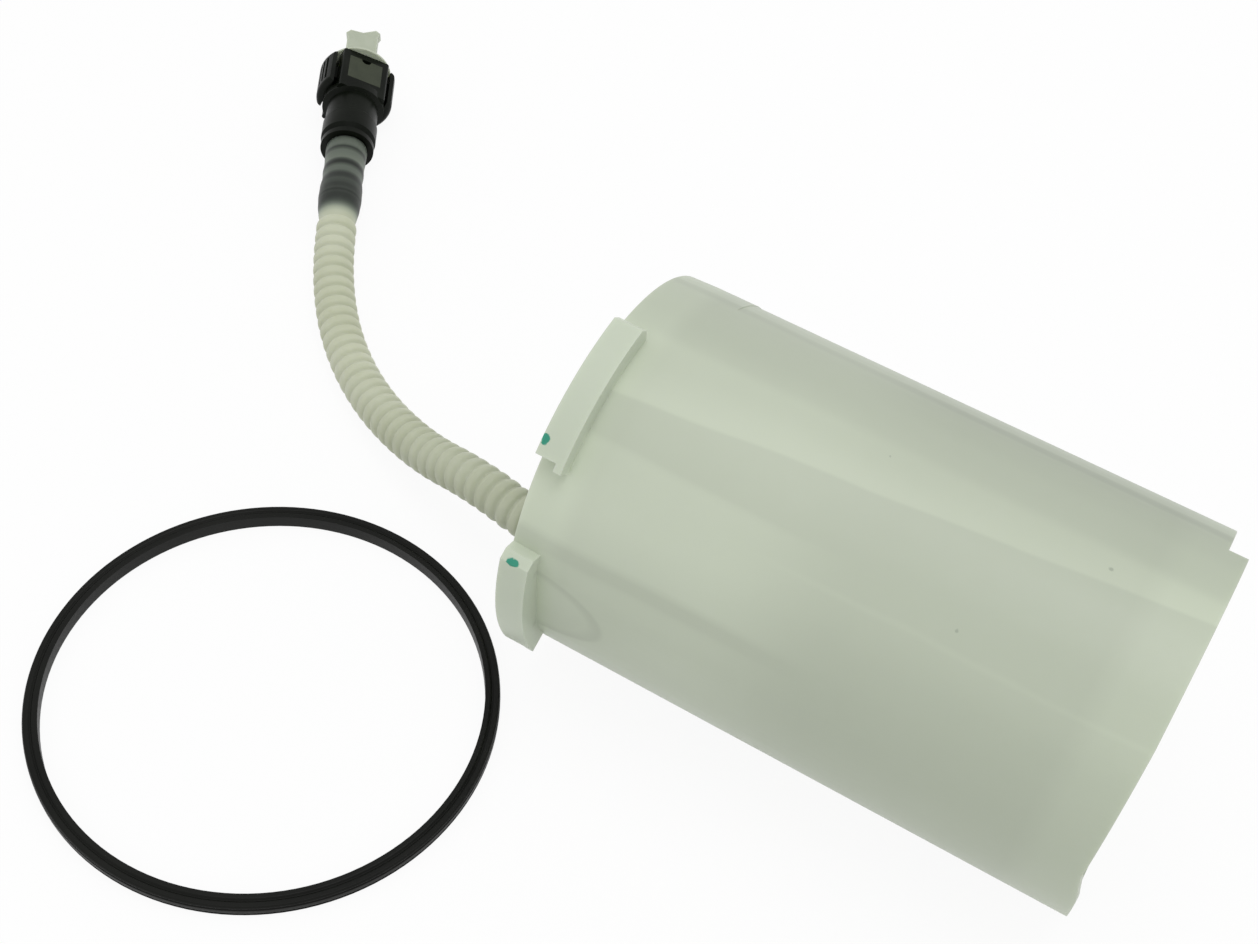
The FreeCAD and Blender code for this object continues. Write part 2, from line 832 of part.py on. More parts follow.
def make_brushes():
    """Two carbon brushes that bear on the commutator's face."""
    sticks = []
    for side in (-1, 1):
        place = (0.0, side * brush_offset)
        sticks.append(block(brush_tangential, brush_radial, brush_low, brush_top, place))
    return Part.makeCompound(sticks)


def terminal_foot():
    """Height of the terminal shoulders that the brush springs push against."""
    return cap_top - 1.5 - 1.0


def make_brush_springs():
    """Two coil springs between the brushes and their terminals."""
    coils = []
    for side in (-1, 1):
        place = (0.0, side * brush_offset)
        coils.append(spring(1.4, brush_wire_r, brush_top + snug, terminal_foot() - snug, 3, place))
    return Part.makeCompound(coils)


def make_pump_terminals():
    """Two blades that stand through the end cap on broad shoulders."""
    blades = []
    for side in (-1, 1):
        place = (0.0, side * brush_offset)
        shoulder = block(brush_tangential, brush_radial, terminal_foot(), terminal_foot() + 0.95, place)
        blade = block(3.0, blade_thickness, terminal_foot() + 0.5, cap_top + terminal_height, place)
        blades.append(shoulder.fuse(blade))
    return Part.makeCompound(blades)


def make_check_plunger():
    """Mushroom plunger that closes the outlet passage."""
    low = cap_top + press
    head_top = low + check_head_height
    stem_top = check_guide_low() + check_guide_height + 1.0
    plunger = cone(check_head_r - 1.0, check_head_r, low, low + 0.8)
    plunger = plunger.fuse(disc(check_head_r, low + 0.8, head_top))
    plunger = plunger.fuse(disc(check_stem_r, head_top - 0.5, stem_top))
    return moved_to(plunger.removeSplitter(), spigot_offset, 0)


def check_guide_low():
    """Height of the guide disc over the plunger's spring."""
    return cap_top + press + check_head_height + check_spring_length


def make_check_guide():
    """Guide disc pressed into the spigot, with three ways for the fuel."""
    low = check_guide_low()
    high = low + check_guide_height
    guide = tube(spigot_bore_r - snug, check_stem_r + running, low, high)
    for index in range(3):
        angle = 2 * math.pi * index / 3
        place = (2.55 * math.cos(angle), 2.55 * math.sin(angle))
        guide = guide.cut(disc(0.8, low - 1, high + 1, place))
    return moved_to(guide, spigot_offset, 0)


def make_check_spring():
    """Light spring that holds the check plunger shut."""
    low = cap_top + press + check_head_height + snug
    return spring(2.3, spring_wire_r, low, check_guide_low() - snug, 4, (spigot_offset, 0.0))


def relief_seat():
    """Height of the relief valve's seat."""
    return cap_top - relief_depth


def make_relief_ball():
    """Steel ball on the rim of the relief passage."""
    rise = math.sqrt(relief_ball_r ** 2 - relief_passage_r ** 2)
    return Part.makeSphere(relief_ball_r, Vector(-relief_offset, 0, relief_seat() + rise + press))


def relief_ball_top():
    """Height of the top of the relief ball."""
    rise = math.sqrt(relief_ball_r ** 2 - relief_passage_r ** 2)
    return relief_seat() + rise + press + relief_ball_r


def make_relief_plug():
    """Pressed plug with a bleed hole, which holds the relief spring."""
    place = (-relief_offset, 0.0)
    return tube(relief_bore_r - snug, 0.6, cap_top - relief_plug_height, cap_top, place)


def make_relief_spring():
    """Spring between the relief ball and its plug."""
    high = cap_top - relief_plug_height - snug
    return spring(1.1, spring_wire_r, relief_ball_top() - 0.35, high, 3, (-relief_offset, 0.0))


def make_outlet_seal():
    """O-ring round the spigot, in the mouth of the cover's stub."""
    height = stub_end + seal_section / 2 + snug
    seal = turned(flat_sided(6, seal_section / 2 - snug, (spigot_r + seal_section / 2, height)))
    return moved_to(seal, nipple_place[0], nipple_place[1])


def make_lower_isolator():
    """Rubber cup under the pump, which keeps its hum out of the pot."""
    ring = tube(shell_r + isolator_thickness, shell_r + press, isolator_low, shell_low + isolator_height)
    flange = tube(shell_r + isolator_thickness, lip_r, isolator_low, isolator_low + isolator_flange)
    return ring.fuse(flange).removeSplitter()


def make_upper_isolator():
    """Rubber ring round the top of the pump."""
    low = holder_top - isolator_height
    return tube(shell_r + isolator_thickness, shell_r + press, low, holder_top)


def make_pump_holder():
    """Moulded sleeve that stands on the pot's floor, with a shelf and inlet windows."""
    holder = tube(holder_outer_r, holder_inner_r, floor_top, holder_top)
    shelf = tube(holder_inner_r + 0.5, lip_r + 1, shelf_top - holder_shelf, shelf_top)
    holder = holder.fuse(shelf)
    low_stop = holder_top - isolator_height - 1.6
    holder = holder.fuse(tube(holder_inner_r + 0.5, shell_r + 1, low_stop, low_stop + 1.5))
    window_top = floor_top + floor_ring_height + holder_window_height
    for index in range(3):
        window = sector(
            holder_inner_r - 1, holder_outer_r + 1, floor_top + floor_ring_height, window_top,
            120.0 * index, holder_window_span
        )
        holder = holder.cut(window)
        slot = sector(
            holder_inner_r - 1, holder_outer_r + 1, shelf_top + 20, low_stop - 12,
            120.0 * index + 60.0, holder_window_span / 2
        )
        holder = holder.cut(slot)
    return holder.removeSplitter()


def make_strainer_frame():
    """Frame of the inlet strainer with the neck that slips over the pump's inlet stub."""
    low = floor_top
    rim = tube(strainer_r, strainer_r - strainer_rim, low, low + strainer_height)
    neck_outer = inlet_stub_r + press + strainer_neck_wall
    neck_top = inlet_low - press
    place = (inlet_offset, 0.0)
    plate = disc(neck_outer, low + strainer_height - 1.2, low + strainer_height + 0.8, place)
    arms = block(2 * strainer_r - 2, 2.0, low + strainer_height - 1.2, low + strainer_height)
    frame = rim.fuse(arms).fuse(turned_to(arms, 90.0)).fuse(plate)
    neck = disc(neck_outer, low + strainer_height, neck_top, place)
    frame = frame.fuse(neck)
    frame = frame.cut(disc(inlet_stub_r + press, low + strainer_height - 2, neck_top + 1, place))
    return frame.removeSplitter()


def make_strainer_mesh():
    """Fine mesh pad stretched inside the strainer's frame."""
    high = floor_top + strainer_height - 1.2 - press
    return disc(strainer_r - strainer_rim - press, floor_top + 1.0, high)


def jet_outline(low, high, growth):
    """Plan of the jet pump's cup: two bosses and the web between them."""
    cup = disc(jet_feed_r + growth, low, high, jet_place)
    cup = cup.fuse(disc(jet_riser_r + growth, low, high, jet_riser_place))
    middle = (jet_place[0], jet_place[1] + jet_pitch / 2)
    return cup.fuse(block(2 * (jet_feed_r + growth) - 1, jet_pitch, low, high, middle))


def make_jet_pump_body():
    """Jet pump: feed pipe down, turn below the floor, and riser back up into the pot."""
    flange_top = floor_top + 1.5
    body = jet_outline(jet_low, flange_top, 0.0)
    body = body.fuse(jet_outline(floor_top, flange_top, 2.0))
    body = body.fuse(disc(jet_feed_r, jet_low, jet_feed_top, jet_place))
    body = body.fuse(disc(jet_nipple_r, jet_feed_top - 1, jet_feed_top + jet_nipple_height, jet_place))
    body = body.fuse(disc(jet_riser_r, jet_low, jet_riser_top, jet_riser_place))
    turn_top = jet_low + 4.0
    feed_bore = disc(jet_nipple_r - 0.7, jet_low + 1.5, jet_feed_top + jet_nipple_height + 1, jet_place)
    body = body.cut(feed_bore)
    middle = (jet_place[0], jet_place[1] + jet_pitch / 2)
    body = body.cut(block(2 * jet_feed_bore_r, jet_pitch, jet_low + 1.5, turn_top, middle))
    body = body.cut(disc(jet_riser_bore_r, jet_low + 1.5, jet_riser_top + 1, jet_riser_place))
    intake = Vector(jet_riser_place[0], jet_riser_place[1], turn_top + 3.2)
    body = body.cut(Part.makeCylinder(1.4, jet_riser_r + 1, intake, Vector(0, 1, 0)))
    return body.removeSplitter()


def make_jet_nozzle():
    """Brass nozzle that shoots the feed up the riser."""
    low = jet_low + 4.0
    nozzle = disc(jet_riser_bore_r - snug, low, low + 1.5)
    nozzle = nozzle.fuse(cone(1.6, 1.1, low + 1.0, low + jet_nozzle_height))
    nozzle = nozzle.cut(disc(jet_orifice_r, low - 1, low + jet_nozzle_height + 1))
    nozzle = nozzle.cut(cone(1.3, jet_orifice_r, low, low + 3))
    return moved_to(nozzle, jet_riser_place[0], jet_riser_place[1])


def make_jet_feed_tube():
    """Small plastic tube from the outlet stub's side port down to the jet pump."""
    outer = jet_nipple_r + feed_tube_wall
    heading = feed_heading()
    port = Vector(nipple_place[0], nipple_place[1], feed_port_height())
    start = port + heading * (stub_r + snug)
    corner = Vector(jet_place[0], jet_place[1], feed_port_height())
    end = Vector(jet_place[0], jet_place[1], jet_feed_top + snug)
    cut_back = 16.0
    first_bend = corner - heading * cut_back
    last_bend = corner - Vector(0, 0, cut_back)
    points = [start, first_bend, last_bend, end]
    rod = thin_rod_along(points, outer)
    return rod.cut(disc(jet_nipple_r + snug, end.z, end.z + jet_nipple_height, jet_place))


def make_first_fill_valve():
    """Rubber mushroom valve that lifts off the floor's fill holes."""
    low = floor_top + press
    head_top = skirt_height - valve_lift - press
    valve = disc(valve_r, low, low + valve_thickness)
    valve = valve.fuse(cone(valve_stem_r + 1.5, valve_stem_r, low + valve_thickness - 0.2, low + 3.5))
    valve = valve.fuse(disc(valve_stem_r, head_top - 0.5, low + 1))
    valve = valve.fuse(cone(1.0, valve_head_r, head_top - 2.2, head_top - 0.8))
    valve = valve.fuse(disc(valve_head_r, head_top - 0.8, head_top))
    return moved_to(valve.removeSplitter(), valve_place[0], valve_place[1])


def make_lead(side):
    """Insulated lead from a pump terminal to the cover blade on the same side."""
    foot = in_pump.multVec(Vector(0, side * brush_offset, cap_top + terminal_height + snug))
    blade_x = socket_place[0] + side * blade_spacing / 2
    head = Vector(blade_x, socket_place[1], cover_under - blade_below - snug)
    low_bend = Vector(foot.x, foot.y, foot.z + 0.4 * (head.z - foot.z))
    high_bend = Vector(head.x, head.y, head.z - 0.5 * (head.z - foot.z))
    return thin_rod_along([foot, low_bend, high_bend, head], lead_r)


def make_seal_ring():
    """Rubber tank seal: smooth bore, three low lips outside and two on each face."""
    inner = ring_r - ring_width
    step = ring_height / 6
    profile = [
        (inner, ring_height),
        (inner, 0.0),
        (inner + 1.4, 0.0),
        (inner + 2.0, ring_groove),
        (inner + 2.6, 0.0),
        (ring_r - 0.4, 0.0),
        (ring_r, step),
        (ring_r - ring_groove, 1.5 * step),
        (ring_r, 2 * step),
        (ring_r, 4 * step),
        (ring_r - ring_groove, 4.5 * step),
        (ring_r, 5 * step),
        (ring_r - 0.4, ring_height),
        (inner + 2.6, ring_height),
        (inner + 2.0, ring_height - ring_groove),
        (inner + 1.4, ring_height),
    ]
    return moved_to(turned(profile), mouth_x + ring_along, axis_y + ring_side)


def make_hose():
    """Hose as a plain rod, with a blind bore at each end for the barb that it is pushed over."""
    rod, length, radii = rod_along(hose_route, hose_r)
    first, second = hose_route[:2]
    rod = rod.cut(Part.makeCylinder(hose_bore_r, barb_length + snug, first, second - first))
    before_last, last = hose_route[-2:]
    rod = rod.cut(Part.makeCylinder(hose_bore_r, pipe_barb_length + snug, last, before_last - last))
    print("hose length", round(length, 1), "bend radii", [round(radius) for radius in radii])
    print("hose volume", round(rod.Volume), "section times length", round(math.pi * hose_r ** 2 * length))
    return rod


def connector_frame():
    """Placement of the connector: along the hose's last run, rolled about that axis."""
    along = (hose_route[-1] - hose_route[-2]).normalize()
    across = Vector(0, 0, 1).cross(along).normalize()
    upward = along.cross(across)
    matrix = FreeCAD.Matrix(
        across.x, upward.x, along.x, hose_route[-1].x,
        across.y, upward.y, along.y, hose_route[-1].y,
        across.z, upward.z, along.z, hose_route[-1].z,
        0, 0, 0, 1,
    )
    return Placement(matrix) * Placement(Vector(0, 0, 0), Rotation(Vector(0, 0, 1), connector_roll))


def make_connector_body():
    """Connector body: barb, collar, stepped barrel and the square head that holds the pipe."""
    barb = barbed(-0.1, pipe_barb_length - 0.1, barb_root_r, barb_r, pipe_barb_count)
    barb = barb.mirror(Vector(0, 0, 0), Vector(0, 0, 1))
    barrel_end = body_collar_length + barrel_length
    waist_end = head_low + waist_length
    body = barb.fuse(turned([
        (0.0, 0.0),
        (body_collar_r, 0.0),
        (body_collar_r, body_collar_length - 0.6),
        (body_collar_r - 0.6, body_collar_length),
        (barrel_r - 1.6, body_collar_length),
        (barrel_r, body_collar_length + 1.8),
        (barrel_r, barrel_end - 1.0),
        (neck_r, barrel_end),
        (neck_r, head_low),
        (waist_r, head_low + 0.6),
        (waist_r, waist_end),
        (0.0, waist_end),
    ]))
    head = block(head_width, head_depth, head_low + 1.0, mouth)
    body = body.fuse(head.makeFillet(1.0, [edge for edge in head.Edges if is_upright(edge)]))
    body = body.cut(disc(nipple_bore_r, -pipe_barb_length - 1, mouth + 1))
    body = body.cut(disc(pipe_bore_r + seal_section, seal_low(), bush_top()))
    body = body.cut(disc(pipe_bore_r, seal_low() - 3.0, mouth + 1))
    body = body.cut(head_pockets())
    return body.removeSplitter()


def is_upright(edge):
    """Whether a straight edge runs along the upright axis."""
    ends = [vertex.Point for vertex in edge.Vertexes]
    return len(ends) == 2 and abs(ends[0].z - ends[1].z) > 1.0


def seal_low():
    """Height of the lower seal's seat in the connector."""
    return head_low - 1.0


def window_low():
    """Lower end of the window in the head."""
    return mouth - window_to_mouth - window_length


def bush_top():
    """Height at which the seal bush stops, below the retainer's legs."""
    return window_low() + 2.0


def head_pockets():
    """Window for the retainer on top of the head, and the side pockets of the release wings."""
    top = head_depth / 2
    window = block(
        window_width + 2 * press, window_thickness + press, window_low() - press,
        window_low() + window_length + press, (0, top - (window_thickness + press) / 2)
    )
    leg_room = block(
        window_width + 2 * press, head_depth - 2 * head_wall, window_low() + 3.0 - press,
        window_low() + 6.0 + press
    )
    leg_room = leg_room.fuse(block(
        window_width - 2.0, head_depth / 2, window_low() + 3.0, window_low() + 6.0,
        (0, head_depth / 4)
    ))
    pockets = window.fuse(leg_room)
    pocket_floor = stem_tip() - wing_travel - loose
    for side in (-1, 1):
        pockets = pockets.fuse(block(
            head_width, wing_stem_depth + 2 * running, wing_stem_low() - running,
            wing_stem_top() + running, (side * (pocket_floor + head_width / 2), 0)
        ))
    return pockets


def wing_low():
    """Height of the lower end of the release wings."""
    return head_low + waist_length + loose


def wing_top():
    """Height of the upper end of the release wings."""
    return mouth - wing_set_back


def wing_stem_low():
    """Height of the lower side of the wings' stems."""
    return wing_low() + wing_stem_inset


def wing_stem_top():
    """Height of the upper side of the wings' stems."""
    return wing_top() - wing_stem_inset


def stem_tip():
    """Distance of the stems' tips from the axis, just inside the head's sides."""
    return head_width / 2 - loose


def make_retainer_clip():
    """Grey retainer: the plate in the head's window, with two legs that grip the pipe's bead."""
    top = head_depth / 2
    plate = block(
        window_width, window_thickness, window_low(), window_low() + window_length,
        (0, top - window_thickness / 2)
    )
    notch = Part.makeCylinder(
        window_notch_r, 2 * window_thickness,
        Vector(0, top - 1.5 * window_thickness, window_low() + window_length), Vector(0, 1, 0)
    )
    plate = plate.cut(notch)
    leg_low = window_low() + 3.0
    leg_gap = 2 * (pipe_bore_r + loose)
    leg_width = (window_width - leg_gap) / 2
    for side in (-1, 1):
        place = (side * (window_width - leg_width) / 2, 0)
        leg = block(leg_width, head_depth - 2 * head_wall - 2 * press, leg_low, leg_low + 3.0, place)
        plate = plate.fuse(leg)
    bridge = block(window_width - 2.2, head_wall + 1, leg_low + 0.1, leg_low + 2.9, (0, top - 1.9))
    return plate.fuse(bridge).removeSplitter()


def make_connector_seals():
    """Two O-rings that seal on the pipe."""
    rings = []
    for index in range(2):
        height = seal_low() + seal_section / 2 + index * (seal_section + seal_spacing)
        rings.append(turned(flat_sided(6, seal_section / 2 - snug, (pipe_bore_r + seal_section / 2, height))))
    return Part.makeCompound(rings)


def make_seal_spacer():
    """Spacer ring between the two O-rings."""
    low = seal_low() + seal_section
    return tube(pipe_bore_r + seal_section - snug, pipe_bore_r + loose, low, low + seal_spacing)


def make_seal_bush():
    """Bush that keeps the O-rings in and guides the pipe."""
    low = seal_low() + 2 * seal_section + seal_spacing
    return tube(pipe_bore_r + seal_section - snug, pipe_bore_r + loose, low, bush_top() - snug)


def make_release_wing(side):
    """Rounded, ribbed squeeze pad on one side of the head, with a stem that slides in its side."""
    inner = head_width / 2 + wing_travel + loose
    low = wing_low()
    top = wing_top()
    pad = disc(wing_r, low, top)
    pad = pad.makeFillet(wing_rounding, [edge for edge in pad.Edges if not is_upright(edge)])
    pad = pad.common(block(wing_r, wing_depth, low, top, (inner + wing_r / 2, 0)))
    for index in range(wing_ribs):
        across = 0.8 * wing_depth * ((index + 0.5) / wing_ribs - 0.5)
        groove = block(
            2 * wing_rib_depth, 0.4 * wing_depth / wing_ribs, low + 2.5, top - 2.5,
            (math.sqrt(wing_r ** 2 - across ** 2), across)
        )
        pad = pad.cut(groove)
    stem = block(
        inner + 0.5 - stem_tip(), wing_stem_depth, wing_stem_low(), wing_stem_top(),
        ((stem_tip() + inner + 0.5) / 2, 0)
    )
    pad = pad.fuse(stem).removeSplitter()
    return pad if side > 0 else turned_to(pad, 180.0)


def make_dust_plug():
    """Natural dust plug: hollow shank, domed flange and a fish-tailed grip fin."""
    shank = disc(pipe_bore_r - loose, mouth - plug_insert, mouth + 0.5)
    shank = shank.cut(disc(pipe_bore_r - 1.3, mouth - plug_insert - 1, mouth - 2))
    seat = mouth + press
    dome = turned([
        (0.0, seat),
        (plug_dome_r, seat),
        (plug_dome_r, seat + 0.3 * plug_dome_height),
        (0.85 * plug_dome_r, seat + 0.6 * plug_dome_height),
        (0.5 * plug_dome_r, seat + 0.9 * plug_dome_height),
        (0.0, seat + plug_dome_height),
    ])
    low = mouth + 1.0
    high = mouth + plug_fin_height
    waist = plug_fin_waist / 2
    tail = plug_fin_top / 2
    corners = [
        Vector(-waist, 0, low),
        Vector(waist, 0, low),
        Vector(waist, 0, high - 3.2),
        Vector(tail, 0, high - 1.6),
        Vector(tail - 1.6, 0, high),
        Vector(0, 0, high - 1.4),
        Vector(1.6 - tail, 0, high),
        Vector(-tail, 0, high - 1.6),
        Vector(-waist, 0, high - 3.2),
    ]
    face = Part.Face(Part.makePolygon(corners + corners[:1]))
    fin = moved_to(face.extrude(Vector(0, plug_fin_thickness, 0)), 0, -plug_fin_thickness / 2)
    fin = turned_to(fin, plug_fin_turn)
    return shank.fuse(dome).fuse(fin).removeSplitter()


def export(name, shape):
    """Write one piece to its own file."""
    shape.exportStep("parts/" + name + ".step")


def export_in_pot(name, shape):
    """Write a piece that is drawn in the upright pot, laid down with it."""
    laid = shape.copy()
    laid.Placement = laid_down * laid.Placement
    export(name, laid)


def export_in_pump(name, shape):
    """Write a piece that is drawn about the pump's own axis."""
    set_in = shape.copy()
    set_in.Placement = in_pump * set_in.Placement
    export_in_pot(name, set_in)


def export_on_hose(name, shape):
    """Write a piece that is drawn about the connector's axis, its collar at height 0."""
    placed = shape.copy()
    placed.Placement = connector_frame() * placed.Placement
    export(name, placed)


# Pot and cover
export_in_pot("reservoir_pot", make_reservoir_pot())
export_in_pot("pot_cover", make_pot_cover())
export_in_pot("cover_terminals", make_cover_terminals())
export_in_pot("outlet_seal", make_outlet_seal())
export_in_pot("first_fill_valve", make_first_fill_valve())
export_in_pot("jet_pump_body", make_jet_pump_body())
export_in_pot("jet_nozzle", make_jet_nozzle())
export_in_pot("jet_feed_tube", make_jet_feed_tube())
export_in_pot("positive_lead", make_lead(1))
export_in_pot("negative_lead", make_lead(-1))

# Pump set
export_in_pump("pump_holder", make_pump_holder())
export_in_pump("lower_isolator", make_lower_isolator())
export_in_pump("upper_isolator", make_upper_isolator())
export_in_pump("strainer_frame", make_strainer_frame())
export_in_pump("strainer_mesh", make_strainer_mesh())
export_in_pump("pump_shell", make_pump_shell())
export_in_pump("pump_inlet_cover", make_inlet_cover())
export_in_pump("impeller_housing", make_impeller_housing())
export_in_pump("impeller", make_impeller())
export_in_pump("motor_shaft", make_motor_shaft())
export_in_pump("armature_core", make_armature_core())
export_in_pump("armature_windings", make_armature_windings())
export_in_pump("commutator", make_commutator())
export_in_pump("magnets", make_magnets())
export_in_pump("magnet_clips", make_magnet_clips())
export_in_pump("lower_bush", make_bush(housing_high - bush_height))
export_in_pump("upper_bush", make_bush(cap_low))
export_in_pump("pump_end_cap", make_pump_end_cap())
export_in_pump("brushes", make_brushes())
export_in_pump("brush_springs", make_brush_springs())
export_in_pump("pump_terminals", make_pump_terminals())
export_in_pump("check_plunger", make_check_plunger())
export_in_pump("check_guide", make_check_guide())
export_in_pump("check_spring", make_check_spring())
export_in_pump("relief_ball", make_relief_ball())
export_in_pump("relief_spring", make_relief_spring())
export_in_pump("relief_plug", make_relief_plug())

# Loose seal ring, and the hose with what is on it
export("seal_ring", make_seal_ring())
export("fuel_hose", make_hose())
export_on_hose("connector_body", make_connector_body())
export_on_hose("retainer_clip", make_retainer_clip())
export_on_hose("connector_seals", make_connector_seals())
export_on_hose("seal_spacer", make_seal_spacer())
export_on_hose("seal_bush", make_seal_bush())
export_on_hose("release_wing_left", make_release_wing(1))
export_on_hose("release_wing_right", make_release_wing(-1))
export_on_hose("dust_plug", make_dust_plug())
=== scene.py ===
import math
import bpy
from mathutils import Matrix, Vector


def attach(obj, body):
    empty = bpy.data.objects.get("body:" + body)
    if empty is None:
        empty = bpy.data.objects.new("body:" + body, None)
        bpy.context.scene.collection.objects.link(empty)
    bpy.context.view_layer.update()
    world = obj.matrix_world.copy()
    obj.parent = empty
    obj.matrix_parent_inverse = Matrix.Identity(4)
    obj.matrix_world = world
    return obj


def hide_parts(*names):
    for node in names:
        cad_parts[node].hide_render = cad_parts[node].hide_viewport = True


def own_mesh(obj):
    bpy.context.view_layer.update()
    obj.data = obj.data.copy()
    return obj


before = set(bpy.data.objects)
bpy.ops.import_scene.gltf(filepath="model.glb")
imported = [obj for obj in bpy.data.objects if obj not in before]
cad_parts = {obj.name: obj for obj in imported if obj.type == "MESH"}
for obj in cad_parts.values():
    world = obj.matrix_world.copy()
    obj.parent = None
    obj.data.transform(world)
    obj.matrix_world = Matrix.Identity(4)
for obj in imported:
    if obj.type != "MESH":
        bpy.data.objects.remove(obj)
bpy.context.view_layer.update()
bpy.ops.object.select_all(action="DESELECT")


# Camera
# A long lens looks down on the pot from its near side and from the seal ring's end, rolled a
# few degrees, so that the hose points away to the upper left.
bpy.ops.object.camera_add(
    location=(0.1283, -0.24755, 0.4515),
    rotation=(math.radians(39.044), math.radians(-3.905), math.radians(30.700)),
)
camera = bpy.context.object
camera.data.sensor_width = 36.0
camera.data.lens = 54.37
bpy.context.scene.camera = camera


# Fuel hose
# Corrugated nylon hose, cream and slightly translucent, which leaves the pot's mouth, bends down
# to the surface and ends in a smooth cuff pushed over the ribbed barb of the quick connector.
# One corrugation is turned and repeated, and the straight hose is then bent along its route.
hose_route = [
    (-0.0125, 0.033898, 0.02501),
    (-0.0345, 0.033898, 0.02501),
    (-0.0587, 0.03955, 0.0234),
    (-0.0835, 0.04635, 0.0132),
    (-0.1099, 0.05785, 0.0073),
    (-0.1324, 0.07315, 0.0065),
    (-0.1513, 0.09365, 0.0077),
    (-0.1663, 0.11805, 0.0113),
    (-0.1807, 0.14275, 0.0119),
]
hose_crest = 0.00658
hose_root = 0.00568
flank_rise = 0.0006
corrugation_pitch = 0.00432
inner_cuff = 0.0125
inner_cuff_step = 0.0004
outer_cuff = 0.0352
cuff_bore = 0.0043


def draw_outline(name, points):
    """Chain of edges in the XZ plane, drawn by extruding one vertex from corner to corner."""
    corners = [Vector((x, 0, z)) for x, z in points]
    bpy.ops.object.select_all(action="DESELECT")
    bpy.ops.mesh.primitive_plane_add(size=0.001, location=corners[0])
    outline = bpy.context.object
    outline.name = name
    bpy.ops.object.mode_set(mode="EDIT")
    bpy.ops.mesh.merge(type="CENTER")
    for start, end in zip(corners, corners[1:]):
        bpy.ops.mesh.extrude_vertices_move(TRANSFORM_OT_translate={"value": end - start})
    return outline


def spin_outline(name, points):
    """Shell turned about the X axis from the (x, z) corners of its outline."""
    shell = draw_outline(name, points)
    bpy.ops.mesh.select_all(action="SELECT")
    bpy.ops.mesh.spin(steps=48, angle=2 * math.pi, center=(0, 0, 0), axis=(1, 0, 0))
    bpy.ops.mesh.select_all(action="SELECT")
    bpy.ops.mesh.remove_doubles(threshold=0.00001)
    bpy.ops.mesh.normals_make_consistent(inside=False)
    bpy.ops.object.mode_set(mode="OBJECT")
    bpy.ops.object.transform_apply(location=True, rotation=True, scale=True)
    bpy.ops.object.shade_smooth_by_angle(angle=math.radians(40))
    return shell


bpy.ops.curve.primitive_nurbs_path_add()
route = bpy.context.object
route.name = "hose_route"
bpy.ops.object.mode_set(mode="EDIT")
bpy.ops.curve.select_all(action="SELECT")
bpy.ops.curve.delete(type="VERT")
bpy.ops.object.mode_set(mode="OBJECT")
route.location = (0, 0, 0)
route_line = route.data.splines.new("NURBS")
route_line.points.add(len(hose_route) - 1)
for control, place in zip(route_line.points, hose_route):
    control.co = (*place, 1.0)
route_line.order_u = 3
route_line.use_endpoint_u = True
route_line.resolution_u = 32
route.data.resolution_u = 32
route.data.dimensions = "3D"
bpy.context.view_layer.update()
evaluated_route = route.evaluated_get(bpy.context.evaluated_depsgraph_get())
line_mesh = bpy.data.meshes.new_from_object(evaluated_route)
hose_path = [tuple(vertex.co) for vertex in line_mesh.vertices]
hose_length = sum(math.dist(a, b) for a, b in zip(hose_path, hose_path[1:]))

corrugated = hose_length - inner_cuff - outer_cuff
corrugation_count = round(corrugated / corrugation_pitch)
pitch = corrugated / corrugation_count
hose = spin_outline("fuel_hose_body", [
    (inner_cuff, hose_root),
    (inner_cuff + 0.08 * pitch, hose_root),
    (inner_cuff + 0.20 * pitch, hose_root + flank_rise),
    (inner_cuff + 0.34 * pitch, hose_crest),
    (inner_cuff + 0.52 * pitch, hose_crest + 0.00002),
    (inner_cuff + 0.70 * pitch, hose_crest),
    (inner_cuff + 0.84 * pitch, hose_root + flank_rise),
    (inner_cuff + 0.95 * pitch, hose_root),
    (inner_cuff + pitch, hose_root),
])
repeat = hose.modifiers.new("corrugations", "ARRAY")
repeat.count = corrugation_count
repeat.use_relative_offset = False
repeat.use_constant_offset = True
repeat.constant_offset_displace = (pitch, 0, 0)
repeat.use_merge_vertices = True
repeat.merge_threshold = 0.00002
bpy.ops.object.modifier_apply(modifier="corrugations")

# The cuff swells over the barb's teeth, which press through it as soft rings.
cuff_start = hose_length - outer_cuff
cuff_outline = [(cuff_start + share * outer_cuff, radius) for share, radius in (
    (0.00, hose_root), (0.04, 0.00585), (0.09, 0.00635), (0.13, 0.00645), (0.19, 0.00695),
    (0.24, 0.00690), (0.31, 0.00728), (0.37, 0.00706), (0.46, 0.00716), (0.52, 0.00674),
    (0.58, 0.00664), (0.63, 0.00692), (0.68, 0.00684), (0.74, 0.00660), (0.83, 0.00697),
    (0.88, 0.00686), (0.94, 0.00705), (0.994, 0.00700),
    (1.00, 0.00680), (1.00, cuff_bore),
)]
outer = spin_outline("hose_cuff", cuff_outline)
inner = spin_outline("hose_inner_cuff", [
    (0.0, cuff_bore),
    (0.0, hose_root),
    (0.0002, hose_root + inner_cuff_step),
    (inner_cuff - 0.0015, hose_root + inner_cuff_step),
    (inner_cuff, hose_root),
])
bpy.ops.object.select_all(action="DESELECT")
for part in (outer, inner, hose):
    part.select_set(True)
bpy.context.view_layer.objects.active = hose
bpy.ops.object.join()
bpy.ops.object.mode_set(mode="EDIT")
bpy.ops.mesh.select_all(action="SELECT")
bpy.ops.mesh.remove_doubles(threshold=0.00002)
bpy.ops.mesh.normals_make_consistent(inside=False)
bpy.ops.object.mode_set(mode="OBJECT")
along = hose.data.attributes.new("along", "FLOAT", "POINT")
along.data.foreach_set("value", [vertex.co.x / hose_length for vertex in hose.data.vertices])
bend = hose.modifiers.new("route", "CURVE")
bend.object = route
bend.deform_axis = "POS_X"
bpy.ops.object.modifier_apply(modifier="route")
